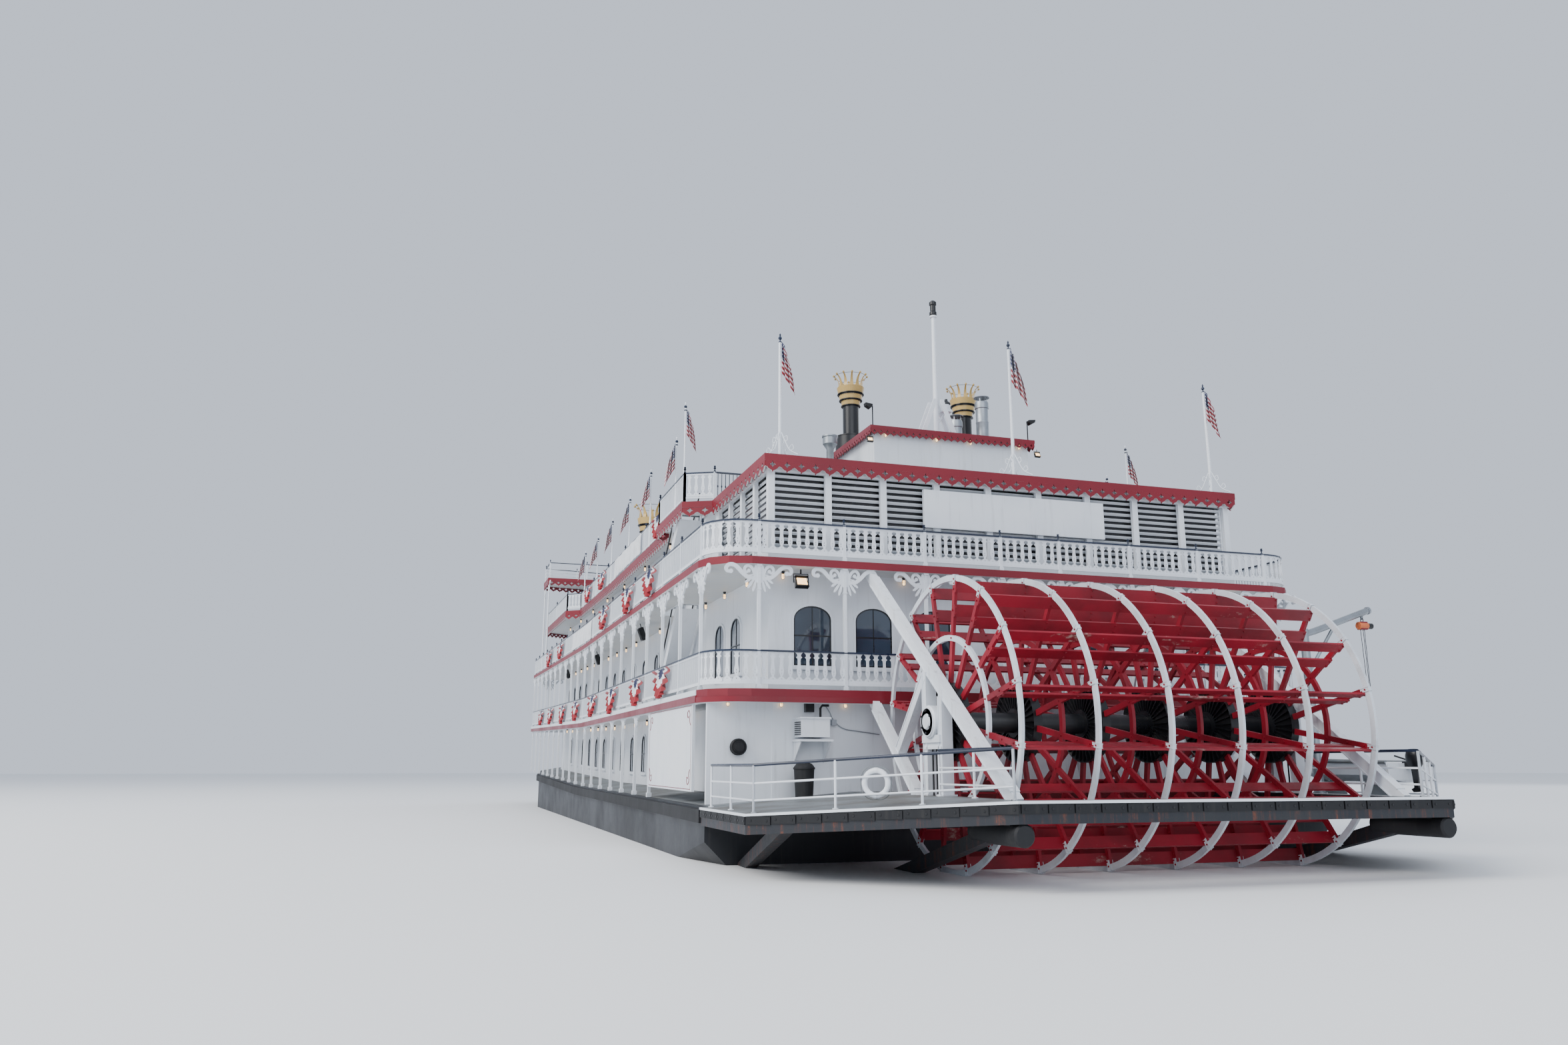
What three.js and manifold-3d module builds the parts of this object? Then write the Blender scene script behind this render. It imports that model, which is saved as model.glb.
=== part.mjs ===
// Sternwheel excursion boat, a half-scale model: scow hull, three decks, texas house, pilothouse and
// one full-width paddle wheel behind the transom.
// Sizes are metres of the real boat times M. X runs to the bow, Y to port and Z up. Until the last
// lines every place is measured from the wheel's axle, which is X 0, Y 0, Z 0.
import * as THREE from "three";
import { mergeVertices } from "three/addons/utils/BufferGeometryUtils.js";
import Module from "manifold-3d";

const wasm = await Module();
wasm.setup();

const M = 500; // one metre of the real boat, in millimetres of the half-scale model
const GAP = 0.3; // between pieces that touch
const GRID = 64; // corners lie on this fraction of a millimetre, so that flush faces are exactly flush

const KEEL = -5.6 * M;
const MAIN_DECK = -1.77 * M;
const DECK_2 = 1.007 * M;
const DECK_3 = 4.675 * M;
const ROOF_DECK = 7.9 * M;
const BRIDGE_DECK = 10.85 * M;
const DECK_THICK = 0.2175 * M;

const TRANSOM = 3.9 * M;
const DECK_AFT = 3.877 * M;
const DECK_FORE = 58.7 * M;
const BOW = 63.4 * M;
const HALF_BEAM = 10.055 * M;
const CORNER_RADIUS = 1.25 * M;
const HOUSE_HALF = 8.0 * M;

// The decks rise to the bow: [distance from the axle, rise], straight between the stations.
const SHEER = [
  [DECK_AFT, 0],
  [30 * M, 0.15 * M],
  [64 * M, 0.887 * M],
];

const WHEEL = {
  radius: 3.65 * M,
  rimDepth: 0.2 * M,
  ringRadius: 2.15 * M,
  ringDepth: 0.14 * M,
  hubRadius: 0.98 * M,
  hubThick: 0.24 * M,
  frameThick: 0.08 * M,
  frames: 6,
  framePitch: 1.924 * M,
  arms: 16,
  armWide: 0.12 * M,
  endArmWide: 0.13 * M,
  phase: THREE.MathUtils.degToRad(10),
  shaftRadius: 0.25 * M,
  journal: 0.15 * M,
  shaftHalf: 5.17 * M,
  boardThick: 0.05 * M,
  boardWide: 0.3 * M,
  boardInner: [2.62 * M, 3.22 * M],
};

const RAIL = {
  height: 1.07 * M,
  cap: 0.06 * M,
  wide: 0.09 * M,
  inset: 0.06 * M,
  pitch: 2.79 * M,
};

const PLATFORM = {
  aft: -4.82 * M,
  inner: -4.02 * M,
  halfAft: 5.67 * M,
  wingFore: -0.5 * M,
  wellHalf: 5.0 * M,
  thick: 0.45 * M,
  camber: 0.35 * M,
};

const paint = (color, roughness = 0.5, metalness = 0) =>
  new THREE.MeshStandardMaterial({ color, roughness, metalness });
const WHITE = 0xe9edf0;
const CRIMSON = 0x96233a;
const WHEEL_RED = 0xa5192d;
const NAVY = 0x192a41;
const BLACK = 0x16181b;
const STEEL = 0x9aa0a6;
const GLASS = 0x27313d;
const DECK_GREY = 0x6f757a;

// Solids from three.js geometry.

function solid(geometry) {
  const bare = geometry.index ? geometry.toNonIndexed() : geometry.clone();
  bare.deleteAttribute("normal");
  bare.deleteAttribute("uv");
  const corner = bare.getAttribute("position");
  for (let i = 0; i < corner.array.length; i++) corner.array[i] = Math.round(corner.array[i] * GRID) / GRID;
  const merged = mergeVertices(bare, 1e-3);
  return new wasm.Manifold(
    new wasm.Mesh({
      numProp: 3,
      vertProperties: new Float32Array(merged.attributes.position.array),
      triVerts: new Uint32Array(merged.index.array),
    }),
  );
}

// Joins in pairs, which keeps the intermediate solids small.
function join(solids) {
  let level = solids.flat();
  while (level.length > 1) {
    const next = [];
    for (let i = 0; i < level.length; i += 2)
      next.push(i + 1 < level.length ? level[i].add(level[i + 1]) : level[i]);
    level = next;
  }
  return level[0];
}

const box = (x0, x1, y0, y1, z0, z1) =>
  solid(
    new THREE.BoxGeometry(x1 - x0, y1 - y0, z1 - z0).translate(
      (x0 + x1) / 2,
      (y0 + y1) / 2,
      (z0 + z1) / 2,
    ),
  );

const shapeOf = (points, holes = []) => {
  const shape = new THREE.Shape(points.map(([x, y]) => new THREE.Vector2(x, y)));
  for (const hole of holes)
    shape.holes.push(new THREE.Path(hole.map(([x, y]) => new THREE.Vector2(x, y))));
  return shape;
};

// An outline in plan, from z0 to z1.
const prism = (outline, z0, z1, holes) =>
  solid(
    new THREE.ExtrudeGeometry(shapeOf(outline, holes), {
      depth: z1 - z0,
      bevelEnabled: false,
    }).translate(0, 0, z0),
  );

// An outline seen from the side, in X and Z, from y0 to y1.
const sidePlate = (outline, y0, y1, holes) =>
  solid(
    new THREE.ExtrudeGeometry(shapeOf(outline, holes), {
      depth: y1 - y0,
      bevelEnabled: false,
    })
      .rotateX(Math.PI / 2)
      .translate(0, y1, 0),
  );

// An outline seen from astern, in Y and Z, from x0 to x1.
const endPlate = (outline, x0, x1, holes) =>
  solid(
    new THREE.ExtrudeGeometry(shapeOf(outline, holes), {
      depth: x1 - x0,
      bevelEnabled: false,
    })
      .rotateX(Math.PI / 2)
      .rotateZ(Math.PI / 2)
      .translate(x0, 0, 0),
  );

// A round piece turned about a vertical axis: the profile is [radius, height], from axis to axis.
const turned = (profile, x, y, sides = 16) =>
  solid(
    new THREE.LatheGeometry(
      profile.map(([r, z]) => new THREE.Vector2(r, z)),
      sides,
    )
      .rotateX(Math.PI / 2)
      .translate(x, y, 0),
  );

const along = (geometry, a, b) => {
  const direction = new THREE.Vector3().subVectors(b, a);
  const up = Math.abs(direction.y) > 0.9 * direction.length() ? [0, 0, 1] : [0, 1, 0];
  const x = direction.clone().normalize();
  const z = new THREE.Vector3().crossVectors(x, new THREE.Vector3(...up)).normalize();
  const y = new THREE.Vector3().crossVectors(z, x);
  const turn = new THREE.Matrix4().makeBasis(x, y, z);
  const middle = new THREE.Vector3().addVectors(a, b).multiplyScalar(0.5);
  return geometry.applyMatrix4(turn).translate(middle.x, middle.y, middle.z);
};

// A square timber or bar: wide across Y, deep in the plane of X and Z.
const beam = (from, to, wide, deep) => {
  const a = new THREE.Vector3(...from);
  const b = new THREE.Vector3(...to);
  return solid(along(new THREE.BoxGeometry(a.distanceTo(b), wide, deep), a, b));
};

const rod = (from, to, radius, sides = 8) => {
  const a = new THREE.Vector3(...from);
  const b = new THREE.Vector3(...to);
  const bar = new THREE.CylinderGeometry(radius, radius, a.distanceTo(b), sides);
  return solid(along(bar.rotateZ(Math.PI / 2), a, b));
};

const mirrored = (list) => [...list, ...list.map((piece) => piece.mirror([0, 1, 0]))];

// Sheer.

function sheerRise(x) {
  if (x <= SHEER[0][0]) return 0;
  for (let i = 1; i < SHEER.length; i++) {
    const [x0, z0] = SHEER[i - 1];
    const [x1, z1] = SHEER[i];
    if (x <= x1) return z0 + ((x - x0) / (x1 - x0)) * (z1 - z0);
  }
  return SHEER.at(-1)[1];
}

// Cuts every triangle at the plane X = station, so that the sheer can bend the mesh there.
function splitAt(vertices, triangles, station) {
  const side = (i) => Math.sign(Math.abs(vertices[i][0] - station) < 1e-3 ? 0 : vertices[i][0] - station);
  const crossings = new Map();
  const crossing = (i, j) => {
    const key = i < j ? i + "_" + j : j + "_" + i;
    if (!crossings.has(key)) {
      const [a, b] = i < j ? [vertices[i], vertices[j]] : [vertices[j], vertices[i]];
      const t = (station - a[0]) / (b[0] - a[0]);
      crossings.set(key, vertices.push([station, a[1] + t * (b[1] - a[1]), a[2] + t * (b[2] - a[2])]) - 1);
    }
    return crossings.get(key);
  };
  const out = [];
  for (const triangle of triangles) {
    const sides = triangle.map(side);
    if (!(sides.includes(1) && sides.includes(-1))) {
      out.push(triangle);
      continue;
    }
    // Turned so that the first corner is alone on its side, or is the one on the plane.
    const alone = sides.includes(0)
      ? sides.indexOf(0)
      : sides.findIndex((s) => sides.filter((t) => t === s).length === 1);
    const [a, b, c] = [0, 1, 2].map((k) => triangle[(alone + k) % 3]);
    if (sides.includes(0)) {
      const m = crossing(b, c);
      out.push([a, b, m], [a, m, c]);
    } else {
      const m = crossing(a, b);
      const n = crossing(a, c);
      out.push([a, m, n], [m, b, c], [m, c, n]);
    }
  }
  return out;
}

function geometryOf(body, sheered) {
  const mesh = body.getMesh();
  const vertices = [];
  for (let i = 0; i < mesh.numVert; i++)
    vertices.push([...mesh.vertProperties.subarray(i * mesh.numProp, i * mesh.numProp + 3)]);
  let triangles = [];
  for (let i = 0; i < mesh.triVerts.length; i += 3) triangles.push([...mesh.triVerts.subarray(i, i + 3)]);
  if (sheered) {
    for (const [station] of SHEER.slice(1, -1)) triangles = splitAt(vertices, triangles, station);
    for (const v of vertices) v[2] += sheerRise(v[0]);
  }
  return new THREE.BufferGeometry()
    .setAttribute("position", new THREE.BufferAttribute(new Float32Array(vertices.flat()), 3))
    .setIndex(triangles.flat());
}

const boat = new THREE.Group();

function node(name, body, material, { sheered = true, parent = boat } = {}) {
  const mesh = new THREE.Mesh(geometryOf(body, sheered), material);
  mesh.name = name;
  parent.add(mesh);
}

// Outlines in plan.

const arc = (cx, cy, radius, from, to, steps) =>
  Array.from({ length: steps + 1 }, (_, i) => {
    const angle = THREE.MathUtils.degToRad(from + ((to - from) * i) / steps);
    return [cx + radius * Math.cos(angle), cy + radius * Math.sin(angle)];
  });

// A deck or rail with round corners, drawn in by inset all round.
function roundedDeck(inset, aft = DECK_AFT, fore = DECK_FORE, half = HALF_BEAM, radius = CORNER_RADIUS) {
  const r = Math.max(radius - inset, 0.02 * M);
  const [x0, x1, y] = [aft + radius, fore - radius, half - radius];
  return [
    ...arc(x1, -y, r, -90, 0, 3),
    ...arc(x1, y, r, 0, 90, 3),
    ...arc(x0, y, r, 90, 180, 3),
    ...arc(x0, -y, r, 180, 270, 3),
  ];
}

const ROOF = {
  aft: 4.594 * M,
  half: 8.244 * M,
  jog: [11.0 * M, 11.5 * M],
  landing: [16.1 * M, 9.2 * M],
  midHalf: 8.75 * M,
  foreJog: [42.8 * M, 43.6 * M],
  foreHalf: 9.5 * M,
  fore: 57.4 * M,
  foreChamfer: 1.6 * M,
  fascia: 0.55 * M,
};

// The roof deck: narrow over the louvred house, widest at the landing of the stairs.
function roofOutline(inset, aft = ROOF.aft) {
  const side = [
    [ROOF.fore - inset, ROOF.foreHalf - ROOF.foreChamfer],
    [ROOF.fore - ROOF.foreChamfer, ROOF.foreHalf - inset],
    [ROOF.foreJog[1] + inset, ROOF.foreHalf - inset],
    [ROOF.foreJog[0] + inset, ROOF.midHalf - inset],
    [ROOF.landing[0] - inset, ROOF.midHalf - inset],
    [ROOF.landing[0] - inset, ROOF.landing[1] - inset],
    [ROOF.jog[1] + inset, ROOF.landing[1] - inset],
    [ROOF.jog[0] + inset, ROOF.half - inset],
    ...(aft < ROOF.jog[0] ? [[aft + inset, ROOF.half - inset]] : []),
  ];
  return [...side, ...side.map(([x, y]) => [x, -y]).reverse()];
}

// A ring between two insets of an outline.
const ring = (outline, outer, inner, z0, z1) => prism(outline(outer), z0, z1, [outline(inner)]);

// Across the stern the rails' posts have places of their own.
const STERN_POSTS_AFT = 5 * M;
const STERN_POSTS = [1.0, 3.5, 6.03, 8.58].flatMap((y) => [y * M, -y * M]);

// Points a pitch apart along a closed outline, with both ends of each side.
function postPlaces(outline, pitch) {
  const places = [];
  outline.forEach(([x0, y0], i) => {
    const [x1, y1] = outline[(i + 1) % outline.length];
    const length = Math.hypot(x1 - x0, y1 - y0);
    if (length < 0.6 * pitch) return;
    if (x0 === x1 && x0 < STERN_POSTS_AFT) {
      places.push(...STERN_POSTS.filter((y) => Math.abs(y) <= length / 2).map((y) => [x0, y]));
      return;
    }
    const count = Math.round(length / pitch);
    for (let k = 0; k <= count; k++)
      places.push([x0 + ((x1 - x0) * k) / count, y0 + ((y1 - y0) * k) / count]);
  });
  return places;
}

const post = (x, y, foot, top, wide = RAIL.wide) =>
  box(x - wide / 2, x + wide / 2, y - wide / 2, y + wide / 2, foot, top);

// A cap rail and posts on a closed outline; the posts reach postTop.
function railing(outline, floor, postTop = floor + RAIL.height, pitch = 2 * RAIL.pitch) {
  const top = floor + RAIL.height;
  const middle = outline(RAIL.inset + RAIL.wide / 2);
  return join([
    ring(outline, RAIL.inset, RAIL.inset + RAIL.wide, top - RAIL.cap, top),
    postPlaces(middle, pitch).map(([x, y]) => post(x, y, floor, postTop)),
  ]);
}

// Hull: a scow with a flat bottom, raked ends and chines.

// [distance from the axle, half breadth at the deck, bottom]
const HULL_STATIONS = [
  [TRANSOM, HALF_BEAM, -3.7 * M],
  [14 * M, HALF_BEAM, KEEL],
  [30 * M, HALF_BEAM, KEEL],
  [50 * M, HALF_BEAM, KEEL],
  [57 * M, 9.3 * M, -5.0 * M],
  [61.2 * M, 7.4 * M, -4.0 * M],
  [BOW, 5.4 * M, -3.0 * M],
];
const CHINE = 0.7 * M;
const CAMBER_FROM = 5.67 * M;

const camberDrop = (y) =>
  (PLATFORM.camber * Math.max(0, Math.abs(y) - CAMBER_FROM)) / (HALF_BEAM - CAMBER_FROM);

function hullSolid(lift) {
  const positions = [];
  const index = [];
  const half = ([x, breadth, bottom]) => {
    const knuckle = Math.min(CAMBER_FROM, 0.7 * breadth);
    const deck = MAIN_DECK + sheerRise(x) + lift;
    return [
      [x, breadth - CHINE, bottom],
      [x, breadth, bottom + CHINE],
      [x, breadth, deck - camberDrop(breadth)],
      [x, knuckle, deck - camberDrop(knuckle)],
    ];
  };
  const count = 8;
  for (const station of HULL_STATIONS) {
    const right = half(station);
    const left = right.map(([x, y, z]) => [x, -y, z]).reverse();
    positions.push(...[...right, ...left].flat());
  }
  for (let s = 0; s + 1 < HULL_STATIONS.length; s++)
    for (let k = 0; k < count; k++) {
      const a = s * count + k;
      const b = s * count + ((k + 1) % count);
      index.push(a, b, a + count, b, b + count, a + count);
    }
  const last = (HULL_STATIONS.length - 1) * count;
  for (let k = 1; k + 1 < count; k++) {
    index.push(0, k + 1, k);
    index.push(last, last + k, last + k + 1);
  }
  return solid(
    new THREE.BufferGeometry()
      .setAttribute("position", new THREE.BufferAttribute(new Float32Array(positions), 3))
      .setIndex(index),
  );
}

// Rudders hang under the raked stern, each from a boss on the hull.
const RUDDER = {
  x: 6.6 * M,
  y: 3.5 * M,
  aft: 1.4 * M,
  fore: 0.6 * M,
  thick: 0.12 * M,
  stock: 0.12 * M,
  boss: 0.2 * M,
  bossFoot: -4.32 * M,
  top: -4.62 * M,
  bottom: -5.55 * M,
};
const bosses = mirrored([
  rod([RUDDER.x, RUDDER.y, -3.9 * M], [RUDDER.x, RUDDER.y, RUDDER.bossFoot], RUDDER.boss, 12),
]);
node("hull", join([hullSolid(0), bosses]), paint(BLACK, 0.6), { sheered: false });
const rudder = join([
  box(
    RUDDER.x - RUDDER.aft,
    RUDDER.x + RUDDER.fore,
    RUDDER.y - RUDDER.thick / 2,
    RUDDER.y + RUDDER.thick / 2,
    RUDDER.bottom,
    RUDDER.top,
  ),
  rod([RUDDER.x, RUDDER.y, RUDDER.bottom], [RUDDER.x, RUDDER.y, RUDDER.bossFoot - GAP], RUDDER.stock, 10),
]);
node("rudder_port", rudder, paint(BLACK, 0.7), { sheered: false });
node("rudder_starboard", rudder.mirror([0, 1, 0]), paint(BLACK, 0.7), { sheered: false });

// Rub rail round the hull at deck level.
const hullSide = HULL_STATIONS.map(([x, breadth]) => [x, breadth]);
const rubOutline = (out) => {
  const side = hullSide.map(([x, y]) => [x + (x > 50 * M ? 0.7 * out : 0), y + out]);
  side[side.length - 1][0] += 0.3 * out;
  return [...side.map(([x, y]) => [x, -y]), ...side.reverse()];
};
const RUB = 0.16 * M;
const rubRail = prism(rubOutline(RUB), MAIN_DECK - 0.75 * M, MAIN_DECK - 0.41 * M)
  .subtract(prism(rubOutline(GAP), MAIN_DECK - M, MAIN_DECK))
  .subtract(box(-M, TRANSOM + GAP, -HALF_BEAM, HALF_BEAM, MAIN_DECK - M, MAIN_DECK));
node("rub_rail", rubRail, paint(BLACK, 0.7));

// Stern platform: side sponsons and the walkway behind the wheel, with the fender on its edge.

const platformHalf = [
  [PLATFORM.aft, PLATFORM.halfAft],
  [PLATFORM.wingFore, HALF_BEAM + RUB],
  [TRANSOM - GAP, HALF_BEAM + RUB],
  [TRANSOM - GAP, PLATFORM.wellHalf],
  [PLATFORM.inner, PLATFORM.wellHalf],
];
const platformOutline = [
  ...platformHalf.map(([x, y]) => [x, -y]),
  ...[...platformHalf].reverse(),
];
// The space under the main deck, which is flat amidships and falls away outboard.
const farOut = HALF_BEAM + M;
const underDeck = (lift) =>
  endPlate(
    [
      [-farOut, MAIN_DECK - 2 * M],
      [farOut, MAIN_DECK - 2 * M],
      [farOut, MAIN_DECK - camberDrop(farOut) + lift],
      [CAMBER_FROM, MAIN_DECK + lift],
      [-CAMBER_FROM, MAIN_DECK + lift],
      [-farOut, MAIN_DECK - camberDrop(farOut) + lift],
    ],
    PLATFORM.aft - 2 * M,
    BOW + M,
  );
const belowFeet = underDeck(GAP);
const standing = (body) => body.subtract(belowFeet);
const platform = prism(platformOutline, MAIN_DECK - PLATFORM.thick - PLATFORM.camber, MAIN_DECK)
  .intersect(underDeck(0))
  .subtract(underDeck(-PLATFORM.thick));
const platformStruts = mirrored([
  beam([-4.4 * M, 5.5 * M, MAIN_DECK - 0.45 * M], [TRANSOM + 0.1 * M, 5.5 * M, -4.3 * M], 0.3 * M, 0.3 * M),
  beam([-0.6 * M, 9.2 * M, MAIN_DECK - 0.6 * M], [TRANSOM + 0.1 * M, 9.0 * M, -3.7 * M], 0.3 * M, 0.3 * M),
]).map((strut) => strut.subtract(hullSolid(0).translate([-GAP, 0, 0])));
const BUMPER = { aft: -4.75 * M, fore: -2.6 * M, y: 5.5 * M, z: -2.45 * M, radius: 0.24 * M };
const bumpers = mirrored([
  rod([BUMPER.aft, BUMPER.y, BUMPER.z], [BUMPER.fore, BUMPER.y, BUMPER.z], BUMPER.radius, 12),
]);

// The davit turns on a round plinth, flat on top of the cambered deck.
const DAVIT_PLACE = { x: 1.2 * M, y: -7.4 * M };
const PLINTH = { radius: 0.22 * M, foot: MAIN_DECK - 0.3 * M, top: MAIN_DECK - 0.06 * M };
const plinth = rod(
  [DAVIT_PLACE.x, DAVIT_PLACE.y, PLINTH.foot],
  [DAVIT_PLACE.x, DAVIT_PLACE.y, PLINTH.top],
  PLINTH.radius,
  12,
);
const sternPlatform = join([platform, platformStruts, bumpers, plinth]);
node("stern_platform", sternPlatform, paint(DECK_GREY, 0.8), { sheered: false });

// Rails of the stern platform: open pipe rails, with the gap for the wheel carriers.
const platformRailHalf = [
  [TRANSOM - 0.3 * M, HALF_BEAM - 0.1 * M],
  [PLATFORM.wingFore + 0.1 * M, HALF_BEAM - 0.1 * M],
  [-4.2 * M, 5.4 * M],
  [-0.6 * M, 5.4 * M],
];
const PIPE = { wide: 0.06 * M, post: 0.08 * M, pitch: 2.1 * M };
function pipeRail(points, rows) {
  const parts = [];
  const foot = ([, y]) => MAIN_DECK - camberDrop(y);
  points.slice(1).forEach((b, i) => {
    const a = points[i];
    const count = Math.max(1, Math.round(Math.hypot(b[0] - a[0], b[1] - a[1]) / PIPE.pitch));
    for (const row of rows) {
      const [from, to] = [a, b].map((end) => [...end, foot(end) + row * RAIL.height]);
      parts.push(beam(from, to, PIPE.wide, PIPE.wide));
    }
    for (let k = i ? 1 : 0; k <= count; k++) {
      const [x, y] = [0, 1].map((axis) => a[axis] + ((b[axis] - a[axis]) * k) / count);
      parts.push(post(x, y, foot([x, y]) - 0.1 * M, foot([x, y]) + 1.02 * RAIL.height, PIPE.post));
    }
  });
  return standing(join(parts));
}
const platformRail = pipeRail(platformRailHalf, [0.25, 0.62, 1]);
node("platform_rail_port", platformRail, paint(WHITE), { sheered: false });
node("platform_rail_starboard", platformRail.mirror([0, 1, 0]), paint(WHITE), { sheered: false });

// Houses: hollow walls with their windows cut, and a skin of glass inside them.

const WALL = 0.15 * M;
const PANE = 0.03 * M;
const rectangle = (x0, x1, half) => [
  [x0, -half],
  [x1, -half],
  [x1, half],
  [x0, half],
];
const archedWindow = (middle, width, sill, head) => {
  const spring = head - width / 2;
  return [
    [middle - width / 2, sill],
    [middle + width / 2, sill],
    ...arc(middle, spring, width / 2, 0, 180, 3),
  ];
};
const squareWindow = (middle, width, sill, head) => [
  [middle - width / 2, sill],
  [middle + width / 2, sill],
  [middle + width / 2, head],
  [middle - width / 2, head],
];
const places = (first, count, pitch) => Array.from({ length: count }, (_, i) => first + i * pitch);

function house({ aft, fore, half, floor, ceiling, sideWindows, endWindows, depth = 2 * M }) {
  const shell = (inset, thick) => {
    const [outer, inner] = [inset, inset + thick].map((d) => rectangle(aft + d, fore - d, half - d));
    return prism(outer, floor, ceiling, [inner]);
  };
  const cuts = [
    sideWindows.map((outline) => sidePlate(outline, -half - M, half + M)),
    endWindows.map((outline) => endPlate(outline, aft - depth, aft + WALL + GAP)),
    endWindows.map((outline) => endPlate(outline, fore - WALL - GAP, fore + depth)),
  ].flat();
  const walls = shell(0, WALL);
  return { walls: cuts.length ? walls.subtract(join(cuts)) : walls, glass: shell(WALL + GAP, PANE) };
}

const mainHouse = house({
  aft: 4.6 * M,
  fore: 56 * M,
  half: HOUSE_HALF,
  floor: MAIN_DECK - 0.6 * M,
  ceiling: DECK_2 - DECK_THICK - GAP,
  sideWindows: places(15.2 * M, 13, 2.9 * M).map((x) =>
    archedWindow(x, 0.95 * M, MAIN_DECK + 0.35 * M, 0.15 * M),
  ),
  endWindows: [],
});
node("main_house", standing(mainHouse.walls), paint(WHITE));
node("main_house_glass", standing(mainHouse.glass), paint(GLASS, 0.1));

// Decks 2 and 3: plates with a painted edge, with the wells of the side stairs.

const STAIR = {
  wide: 0.8 * M,
  run: 4.2 * M,
  head: 12.6 * M,
  outer: 8.97 * M,
  steps: 10,
  clear: 0.05 * M,
};
const stairWell = (side, x0, x1, top) => {
  const sides = [side * (STAIR.outer - STAIR.wide - STAIR.clear), side * (STAIR.outer + STAIR.clear)];
  return box(x0, x1, Math.min(...sides), Math.max(...sides), top - M, top + M);
};
const wellAlong = [STAIR.head - 0.1 * M, STAIR.head + 3.1 * M];
const withWells = (plate, top) =>
  [1, -1].reduce((cut, side) => cut.subtract(stairWell(side, ...wellAlong, top)), plate);
const deckPlate = (top) => prism(roundedDeck(0), top - DECK_THICK, top);
node("deck_2", deckPlate(DECK_2), paint(CRIMSON));
node("deck_3", withWells(deckPlate(DECK_3), DECK_3), paint(CRIMSON));

// Rails with the columns that carry the deck above.
const onDeck = (z) => z + GAP;
const deckEdge = (inset) => roundedDeck(inset);
node("deck_2_rail", railing(deckEdge, onDeck(DECK_2), DECK_3 - DECK_THICK - GAP, RAIL.pitch), paint(WHITE));
node("deck_3_rail", railing(deckEdge, onDeck(DECK_3)), paint(WHITE));

// Columns of the main deck, hung from a header under deck 2.
const COLUMN_ROW = { first: 12.3 * M, count: 17, pitch: 2.79 * M };
const underDeck2 = DECK_2 - DECK_THICK - GAP;
const HEADER = 0.16 * M;
const columnIn = RAIL.inset + RAIL.wide;
const headerRing = ring(deckEdge, RAIL.inset, columnIn, underDeck2 - HEADER, underDeck2).subtract(
  box(0, 5.5 * M, -HOUSE_HALF - 0.1 * M, HOUSE_HALF + 0.1 * M, 0, M),
);
const columnOut = HALF_BEAM - RAIL.inset;
const mainColumns = join([
  headerRing,
  mirrored(
    places(COLUMN_ROW.first, COLUMN_ROW.count, COLUMN_ROW.pitch).map((x) =>
      box(x, x + RAIL.wide, columnOut - RAIL.wide, columnOut, MAIN_DECK - M, underDeck2),
    ),
  ),
]);
node("main_deck_columns", standing(mainColumns), paint(WHITE));

const deck2House = house({
  aft: 5.0 * M,
  fore: 55.5 * M,
  half: HOUSE_HALF,
  floor: onDeck(DECK_2),
  ceiling: DECK_3 - DECK_THICK - GAP,
  sideWindows: [8.47, 10.53, ...places(18.6, 13, 2.79)].map((x) =>
    archedWindow(x * M, (x < 12 ? 1.2 : 1.0) * M, DECK_2 + 0.75 * M, 3.49 * M),
  ),
  endWindows: [-6.67, -4.76, -2.85, 2.85, 4.76, 6.67].map((y) =>
    archedWindow(y * M, 1.15 * M, DECK_2 + 0.75 * M, 3.49 * M),
  ),
});
node("deck_2_house", deck2House.walls, paint(WHITE));
node("deck_2_house_glass", deck2House.glass, paint(GLASS, 0.1));

// Deck 3: the louvred engine-room screen aft, then the cabin.

const LOUVRE = {
  aft: 4.8 * M,
  fore: 10.9 * M,
  half: 8.07 * M,
  sill: 5.15 * M,
  head: 7.42 * M,
  slats: 12,
  bays: 9,
  post: 0.2 * M,
  depth: 0.12 * M,
  slat: { deep: 0.1 * M, high: 0.06 * M },
};
const uPlan = (inset, depth, fore) => {
  const [a, b, h] = [LOUVRE.aft + inset, LOUVRE.aft + inset + depth, LOUVRE.half - inset];
  return [
    [fore, -h],
    [fore, -h + depth],
    [b, -h + depth],
    [b, h - depth],
    [fore, h - depth],
    [fore, h],
    [a, h],
    [a, -h],
  ];
};
const bayPitch = (2 * LOUVRE.half - LOUVRE.post) / LOUVRE.bays;
const sidePitch = (LOUVRE.fore - LOUVRE.aft - LOUVRE.post) / 4;
const underRoof = ROOF_DECK - DECK_THICK - GAP;
const louvrePosts = [
  ...places(-LOUVRE.half, LOUVRE.bays + 1, bayPitch).map((y) =>
    box(LOUVRE.aft, LOUVRE.aft + LOUVRE.depth, y, y + LOUVRE.post, onDeck(DECK_3), underRoof),
  ),
  ...mirrored(
    places(LOUVRE.aft, 5, sidePitch).map((x) =>
      box(x, x + LOUVRE.post, LOUVRE.half - LOUVRE.depth, LOUVRE.half, onDeck(DECK_3), underRoof),
    ),
  ),
];
const louvreFrame = join([
  prism(uPlan(0, LOUVRE.depth, LOUVRE.fore), onDeck(DECK_3), LOUVRE.sill),
  prism(uPlan(0, LOUVRE.depth, LOUVRE.fore), LOUVRE.head, underRoof),
  louvrePosts,
]);
node("louvre_frame", louvreFrame, paint(WHITE));

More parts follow.
